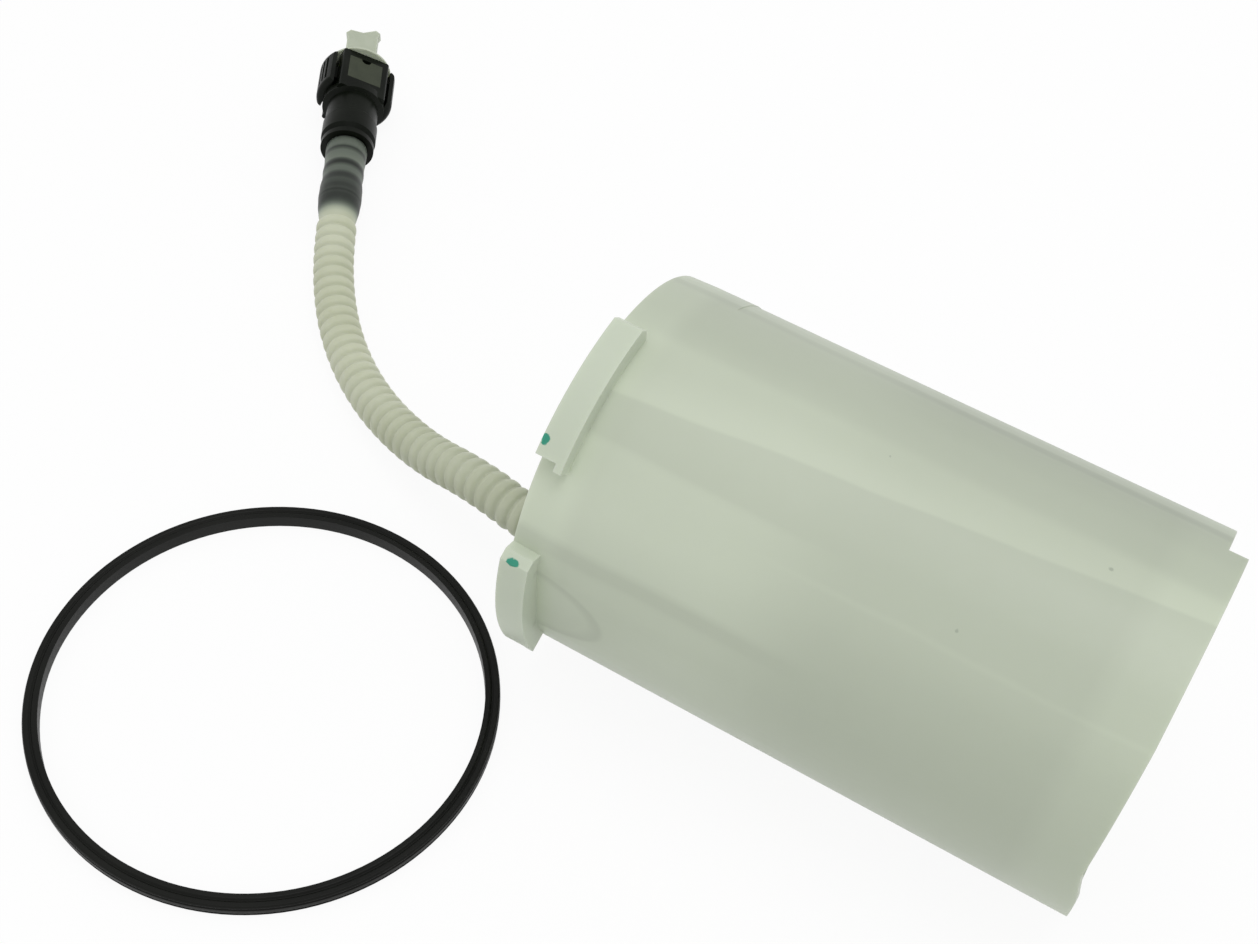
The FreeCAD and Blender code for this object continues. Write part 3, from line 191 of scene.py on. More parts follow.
soften = hose.modifiers.new("soften", "SUBSURF")
soften.levels = 1
soften.render_levels = 1
bpy.ops.object.modifier_apply(modifier="soften")
bpy.ops.object.shade_smooth()
bpy.data.objects.remove(route)


def moulded_finish():
    """Node group of a moulded surface: cloudy colour, fine grain and a roughness that varies."""
    group = bpy.data.node_groups.new("moulded finish", "ShaderNodeTree")
    for name, kind, value in (
        ("Colour", "NodeSocketColor", (0.5, 0.5, 0.5, 1)),
        ("Cloud Colour", "NodeSocketColor", (0.4, 0.4, 0.4, 1)),
        ("Cloud Size", "NodeSocketFloat", 40.0),
        ("Grain Size", "NodeSocketFloat", 1500.0),
        ("Stretch", "NodeSocketVector", (1.0, 1.0, 1.0)),
        ("Roughness", "NodeSocketFloat", 0.4),
        ("Roughness Spread", "NodeSocketFloat", 0.1),
    ):
        socket = group.interface.new_socket(name, in_out="INPUT", socket_type=kind)
        socket.default_value = value
    for name, kind in (
        ("Colour", "NodeSocketColor"), ("Roughness", "NodeSocketFloat"), ("Height", "NodeSocketFloat")
    ):
        group.interface.new_socket(name, in_out="OUTPUT", socket_type=kind)
    nodes = group.nodes
    link = group.links.new
    given = nodes.new("NodeGroupInput")
    made = nodes.new("NodeGroupOutput")
    place = nodes.new("ShaderNodeTexCoord")
    drawn = nodes.new("ShaderNodeVectorMath")
    drawn.operation = "MULTIPLY"
    cloud = nodes.new("ShaderNodeTexNoise")
    cloud.inputs["Detail"].default_value = 3.0
    grain = nodes.new("ShaderNodeTexNoise")
    grain.inputs["Detail"].default_value = 2.0
    mix = nodes.new("ShaderNodeMix")
    mix.data_type = "RGBA"
    soften_cloud = nodes.new("ShaderNodeMapRange")
    soften_cloud.inputs["From Min"].default_value = 0.35
    soften_cloud.inputs["From Max"].default_value = 0.65
    spread = nodes.new("ShaderNodeMath")
    spread.operation = "MULTIPLY_ADD"
    centre = nodes.new("ShaderNodeMath")
    centre.operation = "SUBTRACT"
    centre.inputs[1].default_value = 0.5
    link(place.outputs["Object"], drawn.inputs[0])
    link(given.outputs["Stretch"], drawn.inputs[1])
    link(drawn.outputs["Vector"], cloud.inputs["Vector"])
    link(drawn.outputs["Vector"], grain.inputs["Vector"])
    link(given.outputs["Cloud Size"], cloud.inputs["Scale"])
    link(given.outputs["Grain Size"], grain.inputs["Scale"])
    link(cloud.outputs["Fac"], soften_cloud.inputs["Value"])
    link(soften_cloud.outputs["Result"], mix.inputs["Factor"])
    link(given.outputs["Colour"], mix.inputs["A"])
    link(given.outputs["Cloud Colour"], mix.inputs["B"])
    link(grain.outputs["Fac"], centre.inputs[0])
    link(centre.outputs["Value"], spread.inputs[0])
    link(given.outputs["Roughness Spread"], spread.inputs[1])
    link(given.outputs["Roughness"], spread.inputs[2])
    link(mix.outputs["Result"], made.inputs["Colour"])
    link(spread.outputs["Value"], made.inputs["Roughness"])
    link(grain.outputs["Fac"], made.inputs["Height"])
    return group


moulded = moulded_finish()


def moulded_material(
    name, colour, cloud_colour, cloud_size, grain_size, roughness, spread, bump,
    specular=0.5, metallic=0.0, stretch=(1.0, 1.0, 1.0)
):
    """Material whose colour, roughness and bump come from the moulded finish."""
    material = bpy.data.materials.new(name)
    material.use_nodes = True
    shader = material.node_tree.nodes["Principled BSDF"]
    shader.inputs["Specular IOR Level"].default_value = specular
    shader.inputs["Metallic"].default_value = metallic
    finish = material.node_tree.nodes.new("ShaderNodeGroup")
    finish.name = "finish"
    finish.node_tree = moulded
    finish.inputs["Colour"].default_value = (*colour, 1)
    finish.inputs["Cloud Colour"].default_value = (*cloud_colour, 1)
    finish.inputs["Cloud Size"].default_value = cloud_size
    finish.inputs["Grain Size"].default_value = grain_size
    finish.inputs["Stretch"].default_value = stretch
    finish.inputs["Roughness"].default_value = roughness
    finish.inputs["Roughness Spread"].default_value = spread
    relief = material.node_tree.nodes.new("ShaderNodeBump")
    relief.name = "relief"
    relief.inputs["Strength"].default_value = bump
    relief.inputs["Distance"].default_value = 0.0002
    link = material.node_tree.links.new
    link(finish.outputs["Colour"], shader.inputs["Base Color"])
    link(finish.outputs["Roughness"], shader.inputs["Roughness"])
    link(finish.outputs["Height"], relief.inputs["Height"])
    link(relief.outputs["Normal"], shader.inputs["Normal"])
    return material


def multiply_colours(tree, first, second):
    """Node that multiplies one colour by another."""
    product = tree.nodes.new("ShaderNodeMix")
    product.data_type = "RGBA"
    product.blend_type = "MULTIPLY"
    product.inputs["Factor"].default_value = 1.0
    tree.links.new(first, product.inputs["A"])
    tree.links.new(second, product.inputs["B"])
    return product


# The nylon is cream, with painted shade that makes it a little darker towards the pot, and dark
# where the black barb shows through the cuff.
hose_nylon = moulded_material(
    "hose nylon", (0.56, 0.585, 0.455), (0.52, 0.545, 0.41), 60, 900, 0.42, 0.15, 0.1, specular=0.25
)
nodes = hose_nylon.node_tree.nodes
link = hose_nylon.node_tree.links.new
shader = nodes["Principled BSDF"]
shader.inputs["Subsurface Weight"].default_value = 0.5
shader.inputs["Subsurface Radius"].default_value = (1.0, 1.0, 0.8)
shader.inputs["Subsurface Scale"].default_value = 0.0015
where = nodes.new("ShaderNodeAttribute")
where.attribute_name = "along"
shaded_as_far_as = 0.30 * hose_length
cream_from = 0.55 * hose_length
cream_as_far_as = cuff_start - 0.0008
bands = nodes.new("ShaderNodeValToRGB")
# Painted shade: the hose is darkened to 0.87 up to 0.30 of its length from the pot, fading out by 0.55.
bands.color_ramp.elements[0].position = shaded_as_far_as / hose_length
bands.color_ramp.elements[0].color = (0.87, 0.88, 0.87, 1)
bands.color_ramp.elements[1].position = 1.0
bands.color_ramp.elements[1].color = (0.05, 0.06, 0.065, 1)
for distance in (cream_from, cream_as_far_as):
    stop = bands.color_ramp.elements.new(distance / hose_length)
    stop.color = (1, 1, 1, 1)
for share, tone in (
    (0.05, 0.86), (0.09, 0.55), (0.12, 0.22), (0.15, 0.10), (0.19, 0.05), (0.23, 0.035),
    (0.25, 0.08), (0.28, 0.035), (0.31, 0.085), (0.34, 0.035), (0.38, 0.08), (0.43, 0.10),
    (0.46, 0.04), (0.51, 0.045), (0.54, 0.19), (0.60, 0.21), (0.635, 0.030), (0.68, 0.035),
    (0.71, 0.27), (0.82, 0.22), (0.845, 0.040), (0.862, 0.045), (0.885, 0.24), (0.97, 0.19),
):
    stop = bands.color_ramp.elements.new((cuff_start + share * outer_cuff) / hose_length)
    cast = 1 - tone
    stop.color = (tone, tone * (1 + 0.16 * cast), tone * (1 + 0.26 * cast), 1)
link(where.outputs["Fac"], bands.inputs["Fac"])
tint = multiply_colours(hose_nylon.node_tree, nodes["finish"].outputs["Colour"], bands.outputs["Color"])
link(tint.outputs["Result"], shader.inputs["Base Color"])
hose.data.materials.clear()
hose.data.materials.append(hose_nylon)
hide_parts("fuel_hose")
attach(hose, "module")


# Quick connector and dust plug
# Glass-filled black nylon body with two ribbed release wings, a grey retainer plate in its
# window, and the natural plug that closes its mouth. The mould rounds every outer edge.
def merged_copy(node_name, piece_name, material):
    """Copy of a CAD node's mesh with its triangles joined, in the given material."""
    piece = bpy.data.objects.new(piece_name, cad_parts[node_name].data.copy())
    bpy.context.scene.collection.objects.link(piece)
    bpy.ops.object.select_all(action="DESELECT")
    piece.select_set(True)
    bpy.context.view_layer.objects.active = piece
    bpy.ops.object.mode_set(mode="EDIT")
    bpy.ops.mesh.select_all(action="SELECT")
    bpy.ops.mesh.remove_doubles(threshold=0.000002)
    bpy.ops.object.mode_set(mode="OBJECT")
    piece.data.materials.clear()
    piece.data.materials.append(material)
    return piece


def rounded_copy(node_name, piece_name, width, material, body):
    """Rounded piece that stands for a CAD node: flat faces are joined, sharp edges bevelled."""
    piece = merged_copy(node_name, piece_name, material)
    bpy.ops.object.mode_set(mode="EDIT")
    bpy.ops.mesh.select_all(action="SELECT")
    bpy.ops.mesh.dissolve_limited(angle_limit=math.radians(0.5))
    bpy.ops.object.mode_set(mode="OBJECT")
    edges = piece.modifiers.new("edges", "BEVEL")
    edges.width = width
    edges.segments = 2
    edges.limit_method = "ANGLE"
    edges.angle_limit = math.radians(35)
    bpy.ops.object.modifier_apply(modifier="edges")
    bpy.ops.object.shade_smooth_by_angle(angle=math.radians(40))
    flats = piece.modifiers.new("flats", "WEIGHTED_NORMAL")
    flats.keep_sharp = True
    bpy.ops.object.modifier_apply(modifier="flats")
    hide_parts(node_name)
    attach(piece, body)
    return piece


connector_nylon = moulded_material(
    "black nylon", (0.0032, 0.0045, 0.0026), (0.007, 0.009, 0.006), 90, 1800, 0.34, 0.2, 0.12,
    specular=0.10
)
rounded_copy("connector_body", "connector_moulding", 0.0003, connector_nylon, "module")
rounded_copy("release_wing_left", "left_wing", 0.0003, connector_nylon, "left_release")
rounded_copy("release_wing_right", "right_wing", 0.0003, connector_nylon, "right_release")
retainer_nylon = moulded_material(
    "retainer nylon", (0.052, 0.060, 0.040), (0.042, 0.049, 0.033), 160, 1500, 0.45, 0.15, 0.1,
    specular=0.15
)
rounded_copy("retainer_clip", "retainer_plate", 0.00015, retainer_nylon, "module")
plug_plastic = moulded_material(
    "plug polyethylene", (0.47, 0.51, 0.41), (0.43, 0.47, 0.37), 120, 900, 0.4, 0.15, 0.1, specular=0.3
)
shader = plug_plastic.node_tree.nodes["Principled BSDF"]
shader.inputs["Subsurface Weight"].default_value = 0.4
shader.inputs["Subsurface Radius"].default_value = (1.0, 1.0, 0.85)
shader.inputs["Subsurface Scale"].default_value = 0.002
rounded_copy("dust_plug", "plug_moulding", 0.0003, plug_plastic, "plug")


def dress(name, material):
    """Give a CAD node its material."""
    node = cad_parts[name]
    node.data.materials.clear()
    node.data.materials.append(material)


for name in ("seal_spacer", "seal_bush"):
    dress(name, retainer_nylon)
green_rubber = moulded_material(
    "green seal rubber", (0.03, 0.10, 0.06), (0.04, 0.12, 0.07), 60, 1500, 0.4, 0.15, 0.1
)
for name in ("connector_seals", "outlet_seal"):
    dress(name, green_rubber)


# Reservoir pot and its cover
# Thin-walled pot and recessed cover, moulded in natural acetal, a grey-green white that lets a
# little light into its walls. The melt's flow leaves faint streaks along the pot. The pot's wall
# also carries painted light and shade: painted sheen, a painted reflection and painted shade lines.
pot_mouth_x = -0.0215
pot_length = 0.1605
pot_radius = 0.0525
pot_axis_y = 0.048892
pot_axis_z = 0.0525
natural = moulded_material(
    "natural acetal", (0.475, 0.520, 0.420), (0.445, 0.492, 0.392), 16, 700, 0.40, 0.12, 0.05,
    specular=0.35, stretch=(0.3, 1.0, 1.0)
)
shader = natural.node_tree.nodes["Principled BSDF"]
shader.inputs["Subsurface Weight"].default_value = 0.3
shader.inputs["Subsurface Radius"].default_value = (1.0, 1.0, 0.85)
shader.inputs["Subsurface Scale"].default_value = 0.004
pot = rounded_copy("reservoir_pot", "pot_moulding", 0.0003, natural, "module")


def grey_ramp(tree, name, stops, interpolation="LINEAR"):
    """Colour ramp through greys, given as (position, grey) from its first stop to its last."""
    ramp_node = tree.nodes.new("ShaderNodeValToRGB")
    ramp_node.name = name
    ramp_node.color_ramp.interpolation = interpolation
    elements = ramp_node.color_ramp.elements
    for element, (position, grey) in zip(elements, (stops[0], stops[-1])):
        element.position = position
        element.color = (grey, grey, grey, 1)
    for position, grey in stops[1:-1]:
        element = elements.new(position)
        element.color = (grey, grey, grey, 1)
    return ramp_node


# The pot's own material is the same plastic, with painted tones round the wall: partly the light
# that comes through its wall, partly painted sheen and highlights from the lamp and painted shade
# lines. They are set out round the pot, in degrees from its far side over the top, and along it
# from its mouth, and a little noise makes their edges wander.
wander_reach = 0.0024
mouth_painted_light_end = 0.050
bottom_painted_light_start = 0.088
pot_plastic = natural.copy()
pot_plastic.name = "pot wall"
nodes = pot_plastic.node_tree.nodes
link = pot_plastic.node_tree.links.new
place = nodes.new("ShaderNodeTexCoord")
wander = nodes.new("ShaderNodeTexNoise")
wander.inputs["Scale"].default_value = 25.0
wander.inputs["Detail"].default_value = 1.0
stray = nodes.new("ShaderNodeVectorMath")
stray.operation = "MULTIPLY_ADD"
stray.inputs[1].default_value = (wander_reach, wander_reach, wander_reach)
centred = nodes.new("ShaderNodeMapping")
centred.inputs["Location"].default_value = (
    0.0, -pot_axis_y - wander_reach / 2, -pot_axis_z - wander_reach / 2
)
split = nodes.new("ShaderNodeSeparateXYZ")
round_pot = nodes.new("ShaderNodeMath")
round_pot.operation = "ARCTAN2"
turn = nodes.new("ShaderNodeMath")
turn.operation = "MULTIPLY"
turn.inputs[1].default_value = 1 / (2 * math.pi)
clock = nodes.new("ShaderNodeMath")
clock.operation = "WRAP"
clock.inputs[1].default_value = 1.0
clock.inputs[2].default_value = 0.0
link(place.outputs["Object"], wander.inputs["Vector"])
link(wander.outputs["Color"], stray.inputs[0])
link(place.outputs["Object"], stray.inputs[2])
link(stray.outputs["Vector"], centred.inputs["Vector"])
link(centred.outputs["Vector"], split.inputs["Vector"])
link(split.outputs["Z"], round_pot.inputs[0])
link(split.outputs["Y"], round_pot.inputs[1])
link(round_pot.outputs["Value"], turn.inputs[0])
link(turn.outputs["Value"], clock.inputs[0])
painted_light_ramps = []
# Painted light in these ramps: the lighter tones from about 100 to 155 degrees are painted sheen from the
# lamp and light through the wall, the bright line at 134 degrees is a painted highlight, and the dark
# lines near 59 degrees and the dark band near 158 degrees are painted shade.
for end, degrees_and_greys in (
    ("mouth", (
        (0, 0.84), (48, 0.80), (56, 0.79), (58.5, 0.70), (60.5, 0.70), (63, 0.77), (78, 0.79),
        (90, 0.84), (103, 0.85), (111, 0.87), (123.5, 0.88), (126, 0.96), (142, 0.99), (155, 0.97),
        (157.5, 0.85), (160, 0.85), (162.5, 0.92), (175, 0.93), (190, 0.90), (230, 0.86), (360, 0.84),
    )),
    ("bottom", (
        (0, 0.80), (48, 0.75), (56, 0.73), (58.5, 0.60), (61, 0.60), (63.5, 0.69), (70, 0.73),
        (80, 0.77), (90, 0.80), (110, 0.82), (120, 0.84), (133, 0.86), (134, 0.91), (135, 0.86),
        (150, 0.83), (158, 0.82), (180, 0.82), (230, 0.82), (360, 0.80),
    )),
):
    stops = [(degrees / 360, grey) for degrees, grey in degrees_and_greys]
    tone = grey_ramp(pot_plastic.node_tree, end + " tones", stops, "EASE")
    link(clock.outputs["Value"], tone.inputs["Fac"])
    painted_light_ramps.append(tone)
blend_ends = nodes.new("ShaderNodeMapRange")
blend_ends.interpolation_type = "SMOOTHSTEP"
blend_ends.inputs["From Min"].default_value = pot_mouth_x + mouth_painted_light_end
blend_ends.inputs["From Max"].default_value = pot_mouth_x + bottom_painted_light_start
painted_light_and_shade = nodes.new("ShaderNodeMix")
painted_light_and_shade.data_type = "RGBA"
# Painted light through the wall: lighter near the mouth and over the skirt, where nothing stands behind
# the wall.
ends = grey_ramp(
    pot_plastic.node_tree, "light through skirt and mouth",
    ((0.0, 1.0), (0.07, 0.99), (0.10, 0.93), (0.89, 0.93), (0.93, 0.99), (1.0, 1.0)),
)
length_share = nodes.new("ShaderNodeMapRange")
length_share.inputs["From Min"].default_value = pot_mouth_x
length_share.inputs["From Max"].default_value = pot_mouth_x + pot_length
link(split.outputs["X"], blend_ends.inputs["Value"])
link(blend_ends.outputs["Result"], painted_light_and_shade.inputs["Factor"])
link(painted_light_ramps[0].outputs["Color"], painted_light_and_shade.inputs["A"])
link(painted_light_ramps[1].outputs["Color"], painted_light_and_shade.inputs["B"])
link(split.outputs["X"], length_share.inputs["Value"])
link(length_share.outputs["Result"], ends.inputs["Fac"])
painted_light_with_ends = multiply_colours(
    pot_plastic.node_tree, painted_light_and_shade.outputs["Result"], ends.outputs["Color"]
)
finish = nodes["finish"]
finish.inputs["Colour"].default_value = (0.605, 0.662, 0.535, 1)
finish.inputs["Cloud Colour"].default_value = (0.580, 0.640, 0.512, 1)
with_painted_light = multiply_colours(
    pot_plastic.node_tree, finish.outputs["Colour"], painted_light_with_ends.outputs["Result"]
)

# A painted reflection of a softbox: a brighter wedge lies along the top and narrows towards the bottom.
# Its lower edge is sharp, and it brightens towards that edge.
reflection_length = 0.145
reflection_narrowing = 14 / 360
reflection_slope = reflection_narrowing / reflection_length
reflection_edge = 112 / 360 + reflection_slope * (pot_mouth_x + 0.005)
skewed = nodes.new("ShaderNodeMath")
skewed.operation = "MULTIPLY_ADD"
skewed.inputs[1].default_value = reflection_slope
link(split.outputs["X"], skewed.inputs[0])
link(clock.outputs["Value"], skewed.inputs[2])
masks = []
for source, outside, inside in (
    (skewed, reflection_edge + 0.002, reflection_edge - 0.002),
    (clock, 86.5 / 360, 91.5 / 360),
    (skewed, reflection_edge - 0.040, reflection_edge - 0.004),
):
    mask = nodes.new("ShaderNodeMapRange")
    mask.interpolation_type = "SMOOTHSTEP"
    mask.inputs["From Min"].default_value = outside
    mask.inputs["From Max"].default_value = inside
    link(source.outputs["Value"], mask.inputs["Value"])
    masks.append(mask)
masks[2].inputs["To Min"].default_value = 0.62
painted_reflection = nodes.new("ShaderNodeMath")
painted_reflection.operation = "MULTIPLY"
link(masks[0].outputs["Result"], painted_reflection.inputs[0])
link(masks[1].outputs["Result"], painted_reflection.inputs[1])
reflection_strength = nodes.new("ShaderNodeMath")
reflection_strength.operation = "MULTIPLY"
link(painted_reflection.outputs["Value"], reflection_strength.inputs[0])
link(masks[2].outputs["Result"], reflection_strength.inputs[1])
# Painted reflection: inside the wedge the wall is made up to 11 percent brighter.
with_painted_reflection = nodes.new("ShaderNodeMix")
with_painted_reflection.data_type = "RGBA"
with_painted_reflection.blend_type = "MULTIPLY"
with_painted_reflection.inputs["B"].default_value = (1.11, 1.11, 1.105, 1)
link(reflection_strength.outputs["Value"], with_painted_reflection.inputs["Factor"])
link(with_painted_light.outputs["Result"], with_painted_reflection.inputs["A"])

# Painted shade: a dark arc along the edge of the scallop behind the near lug, where its step falls in
# shadow.
scallop_centre_x = pot_mouth_x + 0.003
scallop_centre_turn = 182 / 360
scallop_length = 0.052
scallop_span = 28 / 360
scallop_along = nodes.new("ShaderNodeMath")
scallop_along.operation = "MULTIPLY_ADD"
scallop_along.inputs[1].default_value = 1 / scallop_length
scallop_along.inputs[2].default_value = -scallop_centre_x / scallop_length
scallop_round = nodes.new("ShaderNodeMath")
scallop_round.operation = "MULTIPLY_ADD"
scallop_round.inputs[1].default_value = 1 / scallop_span
scallop_round.inputs[2].default_value = -scallop_centre_turn / scallop_span
scallop_place = nodes.new("ShaderNodeCombineXYZ")
scallop_reach = nodes.new("ShaderNodeVectorMath")
scallop_reach.operation = "LENGTH"
scallop_shade_ramp = grey_ramp(
    pot_plastic.node_tree, "scallop edge", ((0.41, 1.0), (0.465, 0.91), (0.495, 0.89), (0.525, 1.0))
)
link(split.outputs["X"], scallop_along.inputs[0])
link(clock.outputs["Value"], scallop_round.inputs[0])
link(scallop_along.outputs["Value"], scallop_place.inputs["X"])
link(scallop_round.outputs["Value"], scallop_place.inputs["Y"])
link(scallop_place.outputs["Vector"], scallop_reach.inputs[0])
link(scallop_reach.outputs["Value"], scallop_shade_ramp.inputs["Fac"])
with_scallop_shade = multiply_colours(
    pot_plastic.node_tree, with_painted_reflection.outputs["Result"], scallop_shade_ramp.outputs["Color"]
)

# The lugs, which stand out from the wall, have the even tone of solid plastic.
around = nodes.new("ShaderNodeVectorMath")
around.operation = "MULTIPLY"
around.inputs[1].default_value = (0.0, 1.0, 1.0)
stand_out = nodes.new("ShaderNodeVectorMath")
stand_out.operation = "LENGTH"
on_lug = nodes.new("ShaderNodeMapRange")
on_lug.inputs["From Min"].default_value = pot_radius + 0.0010
on_lug.inputs["From Max"].default_value = pot_radius + 0.0018
lugged = nodes.new("ShaderNodeMix")
lugged.data_type = "RGBA"
lugged.inputs["B"].default_value = (0.538, 0.592, 0.482, 1)
link(centred.outputs["Vector"], around.inputs[0])
link(around.outputs["Vector"], stand_out.inputs[0])
link(stand_out.outputs["Value"], on_lug.inputs["Value"])
link(on_lug.outputs["Result"], lugged.inputs["Factor"])
link(with_scallop_shade.outputs["Result"], lugged.inputs["A"])

# Green inspector's dots, dabbed on the outer faces of two lugs, and the grey marks of the
# mould's gates along the wall.
raggedness = 0.0012
dab_green = (0.035, 0.28, 0.19, 1)
gate_grey = (0.36, 0.40, 0.32, 1)
painted = lugged
for dot, radius, stretch, dab in (
    ((-0.0205, 0.0108, 0.0963), 0.0014, (1.0, 0.9, 0.9), dab_green),
    ((-0.0180, -0.0072, 0.0675), 0.0015, (0.7, 1.1, 1.3), dab_green),
    ((0.0545, 0.0461, 0.1049), 0.0004, (1.0, 1.0, 1.0), gate_grey),
    ((0.1125, 0.0443, 0.1048), 0.0006, (0.9, 1.0, 1.0), gate_grey),
    ((0.0880, 0.0166, 0.0939), 0.0006, (1.0, 1.0, 1.0), gate_grey),
):
    edge = nodes.new("ShaderNodeMapping")
    edge.inputs["Location"].default_value = tuple(-at * scale for at, scale in zip(dot, stretch))
    edge.inputs["Scale"].default_value = stretch
    ragged = nodes.new("ShaderNodeTexNoise")
    ragged.inputs["Scale"].default_value = 900.0
    reach = nodes.new("ShaderNodeVectorMath")
    reach.operation = "LENGTH"
    rough_reach = nodes.new("ShaderNodeMath")
    rough_reach.operation = "MULTIPLY_ADD"
    rough_reach.inputs[1].default_value = raggedness
    inside = nodes.new("ShaderNodeMapRange")
    inside.inputs["From Min"].default_value = radius + raggedness / 2
    inside.inputs["From Max"].default_value = radius + raggedness / 4
    paint = nodes.new("ShaderNodeMix")
    paint.data_type = "RGBA"
    paint.inputs["B"].default_value = dab
    link(place.outputs["Object"], edge.inputs["Vector"])
    link(place.outputs["Object"], ragged.inputs["Vector"])
    link(edge.outputs["Vector"], reach.inputs[0])
    link(ragged.outputs["Fac"], rough_reach.inputs[0])
    link(reach.outputs["Value"], rough_reach.inputs[2])
    link(rough_reach.outputs["Value"], inside.inputs["Value"])
    link(inside.outputs["Result"], paint.inputs["Factor"])
    link(painted.outputs["Result"], paint.inputs["A"])
    painted = paint
link(painted.outputs["Result"], nodes["Principled BSDF"].inputs["Base Color"])
pot.data.materials.clear()
pot.data.materials.append(pot_plastic)
rounded_copy("pot_cover", "cover_moulding", 0.0003, natural, "module")
for name in ("jet_pump_body", "pump_holder", "strainer_frame", "check_guide", "jet_feed_tube"):
    dress(name, natural)


# Tank seal
# Loose ring of black moulded rubber with a groove between its two lips, matt with a faint bloom.
rubber = moulded_material(
    "black rubber", (0.0045, 0.005, 0.004), (0.008, 0.0085, 0.007), 30, 900, 0.40, 0.2, 0.15,
    specular=0.14
)
rounded_copy("seal_ring", "tank_seal", 0.0002, rubber, "module")
for name in ("lower_isolator", "upper_isolator", "first_fill_valve", "check_plunger"):
    dress(name, rubber)


# Pump set
# Steel shell with its plastic end pieces, the bladed impeller, and the motor with its copper
# windings, carbon commutator and brushes between two ferrite magnets.
steel = moulded_material(
    "drawn steel", (0.42, 0.42, 0.43), (0.36, 0.36, 0.37), 90, 1800, 0.3, 0.15, 0.05,
    metallic=1.0, stretch=(0.05, 1.0, 1.0)
)
for name in (
    "pump_shell", "motor_shaft", "armature_core", "magnet_clips", "brush_springs", "check_spring",
    "relief_ball", "relief_spring"
):
    dress(name, steel)

# The springs behind the two valves stand on a fixed end; here they are smoothed copies of their CAD nodes,
# each with its own mesh, and the table's valve joint, fixed end and lift are not used.
for node_name, piece_name, joint, fixed_end_x, lift in (
    ("check_spring", "check_valve_spring", "check_valve_lift", 0.016, 0.0018),
    ("relief_spring", "relief_valve_spring", "relief_valve_lift", 0.029, 0.0010),
):
    spring = merged_copy(node_name, piece_name, steel)
    bpy.ops.object.shade_smooth_by_angle(angle=math.radians(50))
    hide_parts(node_name)
    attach(spring, "module")
    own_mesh(spring)
brass = moulded_material(
    "brass", (0.60, 0.42, 0.17), (0.52, 0.36, 0.14), 90, 1800, 0.32, 0.15, 0.05, metallic=1.0
)
for name in ("cover_terminals", "jet_nozzle", "pump_terminals", "relief_plug"):
    dress(name, brass)
bronze = moulded_material(
    "sintered bronze", (0.38, 0.24, 0.13), (0.30, 0.19, 0.10), 700, 3000, 0.5, 0.2, 0.5, metallic=1.0
)
for name in ("lower_bush", "upper_bush"):
    dress(name, bronze)
copper = moulded_material(
    "enamelled copper", (0.55, 0.20, 0.08), (0.40, 0.13, 0.05), 500, 2500, 0.3, 0.15, 0.6,
    metallic=1.0, stretch=(1.0, 0.15, 0.15)
)
dress("armature_windings", copper)
carbon = moulded_material("carbon", (0.02, 0.02, 0.022), (0.03, 0.03, 0.03), 200, 2500, 0.5, 0.2, 0.2)
for name in ("commutator", "brushes"):
    dress(name, carbon)
ferrite = moulded_material("ferrite", (0.03, 0.03, 0.034), (0.045, 0.043, 0.045), 120, 2500, 0.6, 0.2, 0.3)
dress("magnets", ferrite)
pump_plastic = moulded_material(
    "grey pump plastic", (0.06, 0.06, 0.062), (0.075, 0.075, 0.075), 80, 1500, 0.45, 0.15, 0.1
)
for name in ("pump_inlet_cover", "impeller_housing", "impeller", "pump_end_cap"):
    dress(name, pump_plastic)
red = moulded_material(
    "red insulation", (0.35, 0.02, 0.015), (0.30, 0.015, 0.012), 80, 1500, 0.4, 0.15, 0.05
)
dress("positive_lead", red)
black = moulded_material(
    "black insulation", (0.012, 0.012, 0.013), (0.02, 0.02, 0.02), 80, 1500, 0.4, 0.15, 0.05
)
dress("negative_lead", black)


# Strainer cloth
# Fine nylon mesh under the pump's inlet, woven over and under at 0.6 mm.
cloth = moulded_material(
    "strainer cloth", (0.50, 0.52, 0.44), (0.40, 0.42, 0.34), 120, 1500, 0.7, 0.1, 0.2
)
nodes = cloth.node_tree.nodes
link = cloth.node_tree.links.new
place = nodes.new("ShaderNodeTexCoord")
threads = []
for direction in ("Y", "Z"):
    thread = nodes.new("ShaderNodeTexWave")
    thread.bands_direction = direction
    thread.inputs["Scale"].default_value = 520.0
    thread.inputs["Distortion"].default_value = 0.4
    link(place.outputs["Object"], thread.inputs["Vector"])
    threads.append(thread)
over = nodes.new("ShaderNodeMath")
over.operation = "MAXIMUM"
link(threads[0].outputs["Fac"], over.inputs[0])
link(threads[1].outputs["Fac"], over.inputs[1])
open_weave = nodes.new("ShaderNodeMix")
open_weave.data_type = "RGBA"
open_weave.inputs["A"].default_value = (0.12, 0.12, 0.10, 1)
link(over.outputs["Value"], open_weave.inputs["Factor"])
link(nodes["finish"].outputs["Colour"], open_weave.inputs["B"])
link(open_weave.outputs["Result"], nodes["Principled BSDF"].inputs["Base Color"])
link(over.outputs["Value"], nodes["relief"].inputs["Height"])
dress("strainer_mesh", cloth)


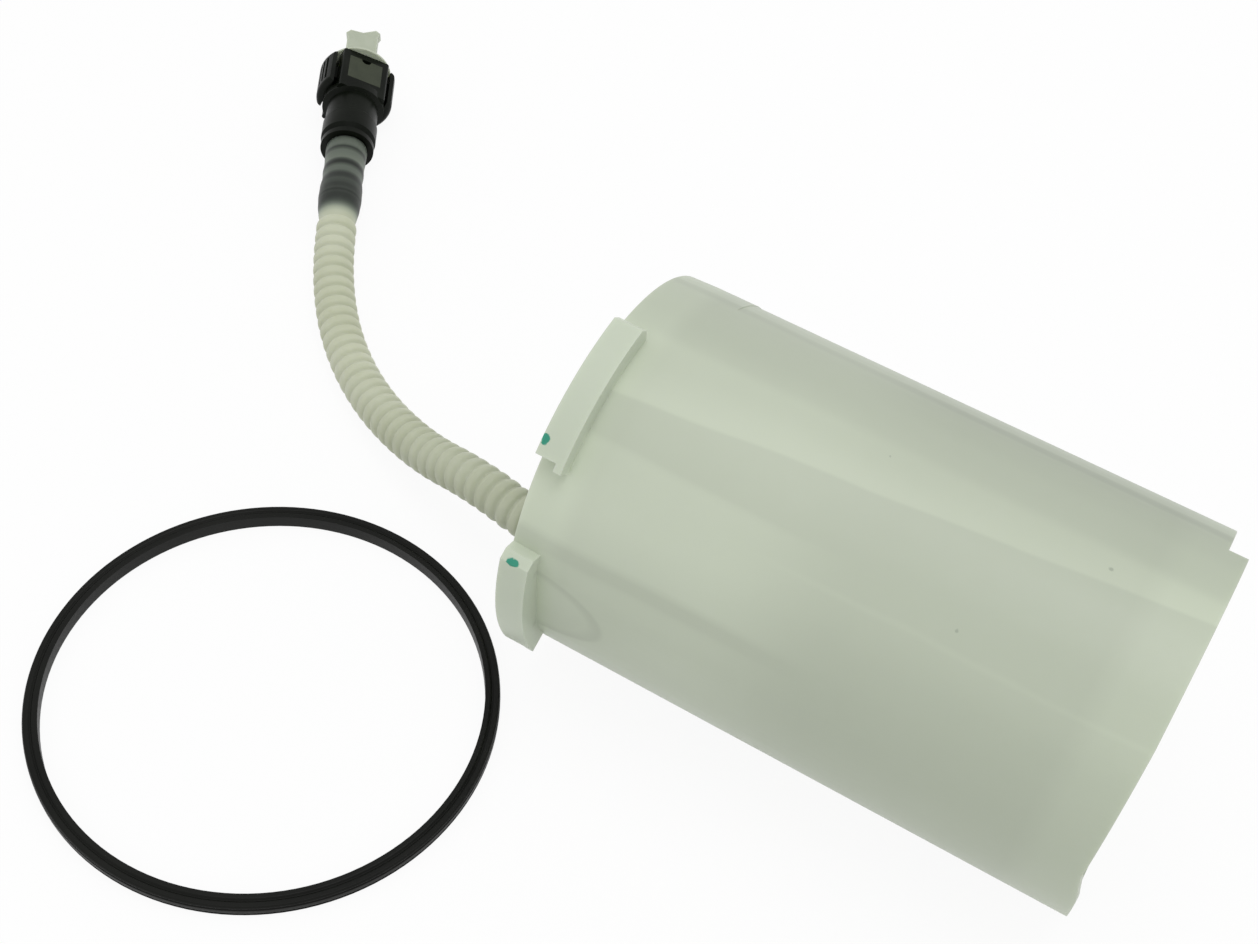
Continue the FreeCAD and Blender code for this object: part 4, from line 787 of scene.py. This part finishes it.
# Studio
# Pale floor that shows white round the object and keeps a soft shadow, under one broad lamp
# overhead and an even room.
bpy.ops.object.select_all(action="DESELECT")
bpy.ops.mesh.primitive_plane_add(size=6, location=(0, 0, 0))
floor = bpy.context.object
floor.name = "floor"
paper = bpy.data.materials.new("white paper")
paper.use_nodes = True
nodes = paper.node_tree.nodes
link = paper.node_tree.links.new
shader = nodes["Principled BSDF"]
shader.inputs["Base Color"].default_value = (0.9, 0.9, 0.9, 1)
shader.inputs["Roughness"].default_value = 0.9
shader.inputs["Specular IOR Level"].default_value = 0.0
glow = nodes.new("ShaderNodeEmission")
glow.inputs["Strength"].default_value = 1.0
seen = nodes.new("ShaderNodeLightPath")
either = nodes.new("ShaderNodeMath")
either.operation = "MAXIMUM"
white_share = nodes.new("ShaderNodeMath")
white_share.operation = "MULTIPLY"
white_share.inputs[1].default_value = 0.92
blend = nodes.new("ShaderNodeMixShader")
link(seen.outputs["Is Camera Ray"], either.inputs[0])
link(seen.outputs["Is Glossy Ray"], either.inputs[1])
link(either.outputs["Value"], white_share.inputs[0])
link(white_share.outputs["Value"], blend.inputs["Fac"])
link(shader.outputs["BSDF"], blend.inputs[1])
link(glow.outputs["Emission"], blend.inputs[2])
link(blend.outputs["Shader"], nodes["Material Output"].inputs["Surface"])
floor.data.materials.append(paper)

world = bpy.data.worlds.new("studio")
bpy.context.scene.world = world
world.use_nodes = True
nodes = world.node_tree.nodes
link = world.node_tree.links.new
room = nodes["Background"]
room.inputs["Color"].default_value = (1, 1, 1, 1)
room.inputs["Strength"].default_value = 0.78
white = nodes.new("ShaderNodeBackground")
white.inputs["Color"].default_value = (1, 1, 1, 1)
white.inputs["Strength"].default_value = 1.0
seen = nodes.new("ShaderNodeLightPath")
blend = nodes.new("ShaderNodeMixShader")
either = nodes.new("ShaderNodeMath")
either.operation = "MAXIMUM"
link(seen.outputs["Is Camera Ray"], either.inputs[0])
link(seen.outputs["Is Transmission Ray"], either.inputs[1])
link(either.outputs["Value"], blend.inputs["Fac"])
link(room.outputs["Background"], blend.inputs[1])
link(white.outputs["Background"], blend.inputs[2])
link(blend.outputs["Shader"], nodes["World Output"].inputs["Surface"])

lamp_place = Vector((0.10, 0.06, 1.10))
lamp_aim = Vector((0.05, 0.05, 0.03))
lamp_turn = (lamp_aim - lamp_place).to_track_quat("-Z", "Y").to_euler()
bpy.ops.object.light_add(type="AREA", location=lamp_place, rotation=lamp_turn)
lamp = bpy.context.object
lamp.name = "overhead_lamp"
lamp.data.size = 0.6
lamp.data.energy = 3.2

bpy.context.scene.view_settings.view_transform = "Standard"
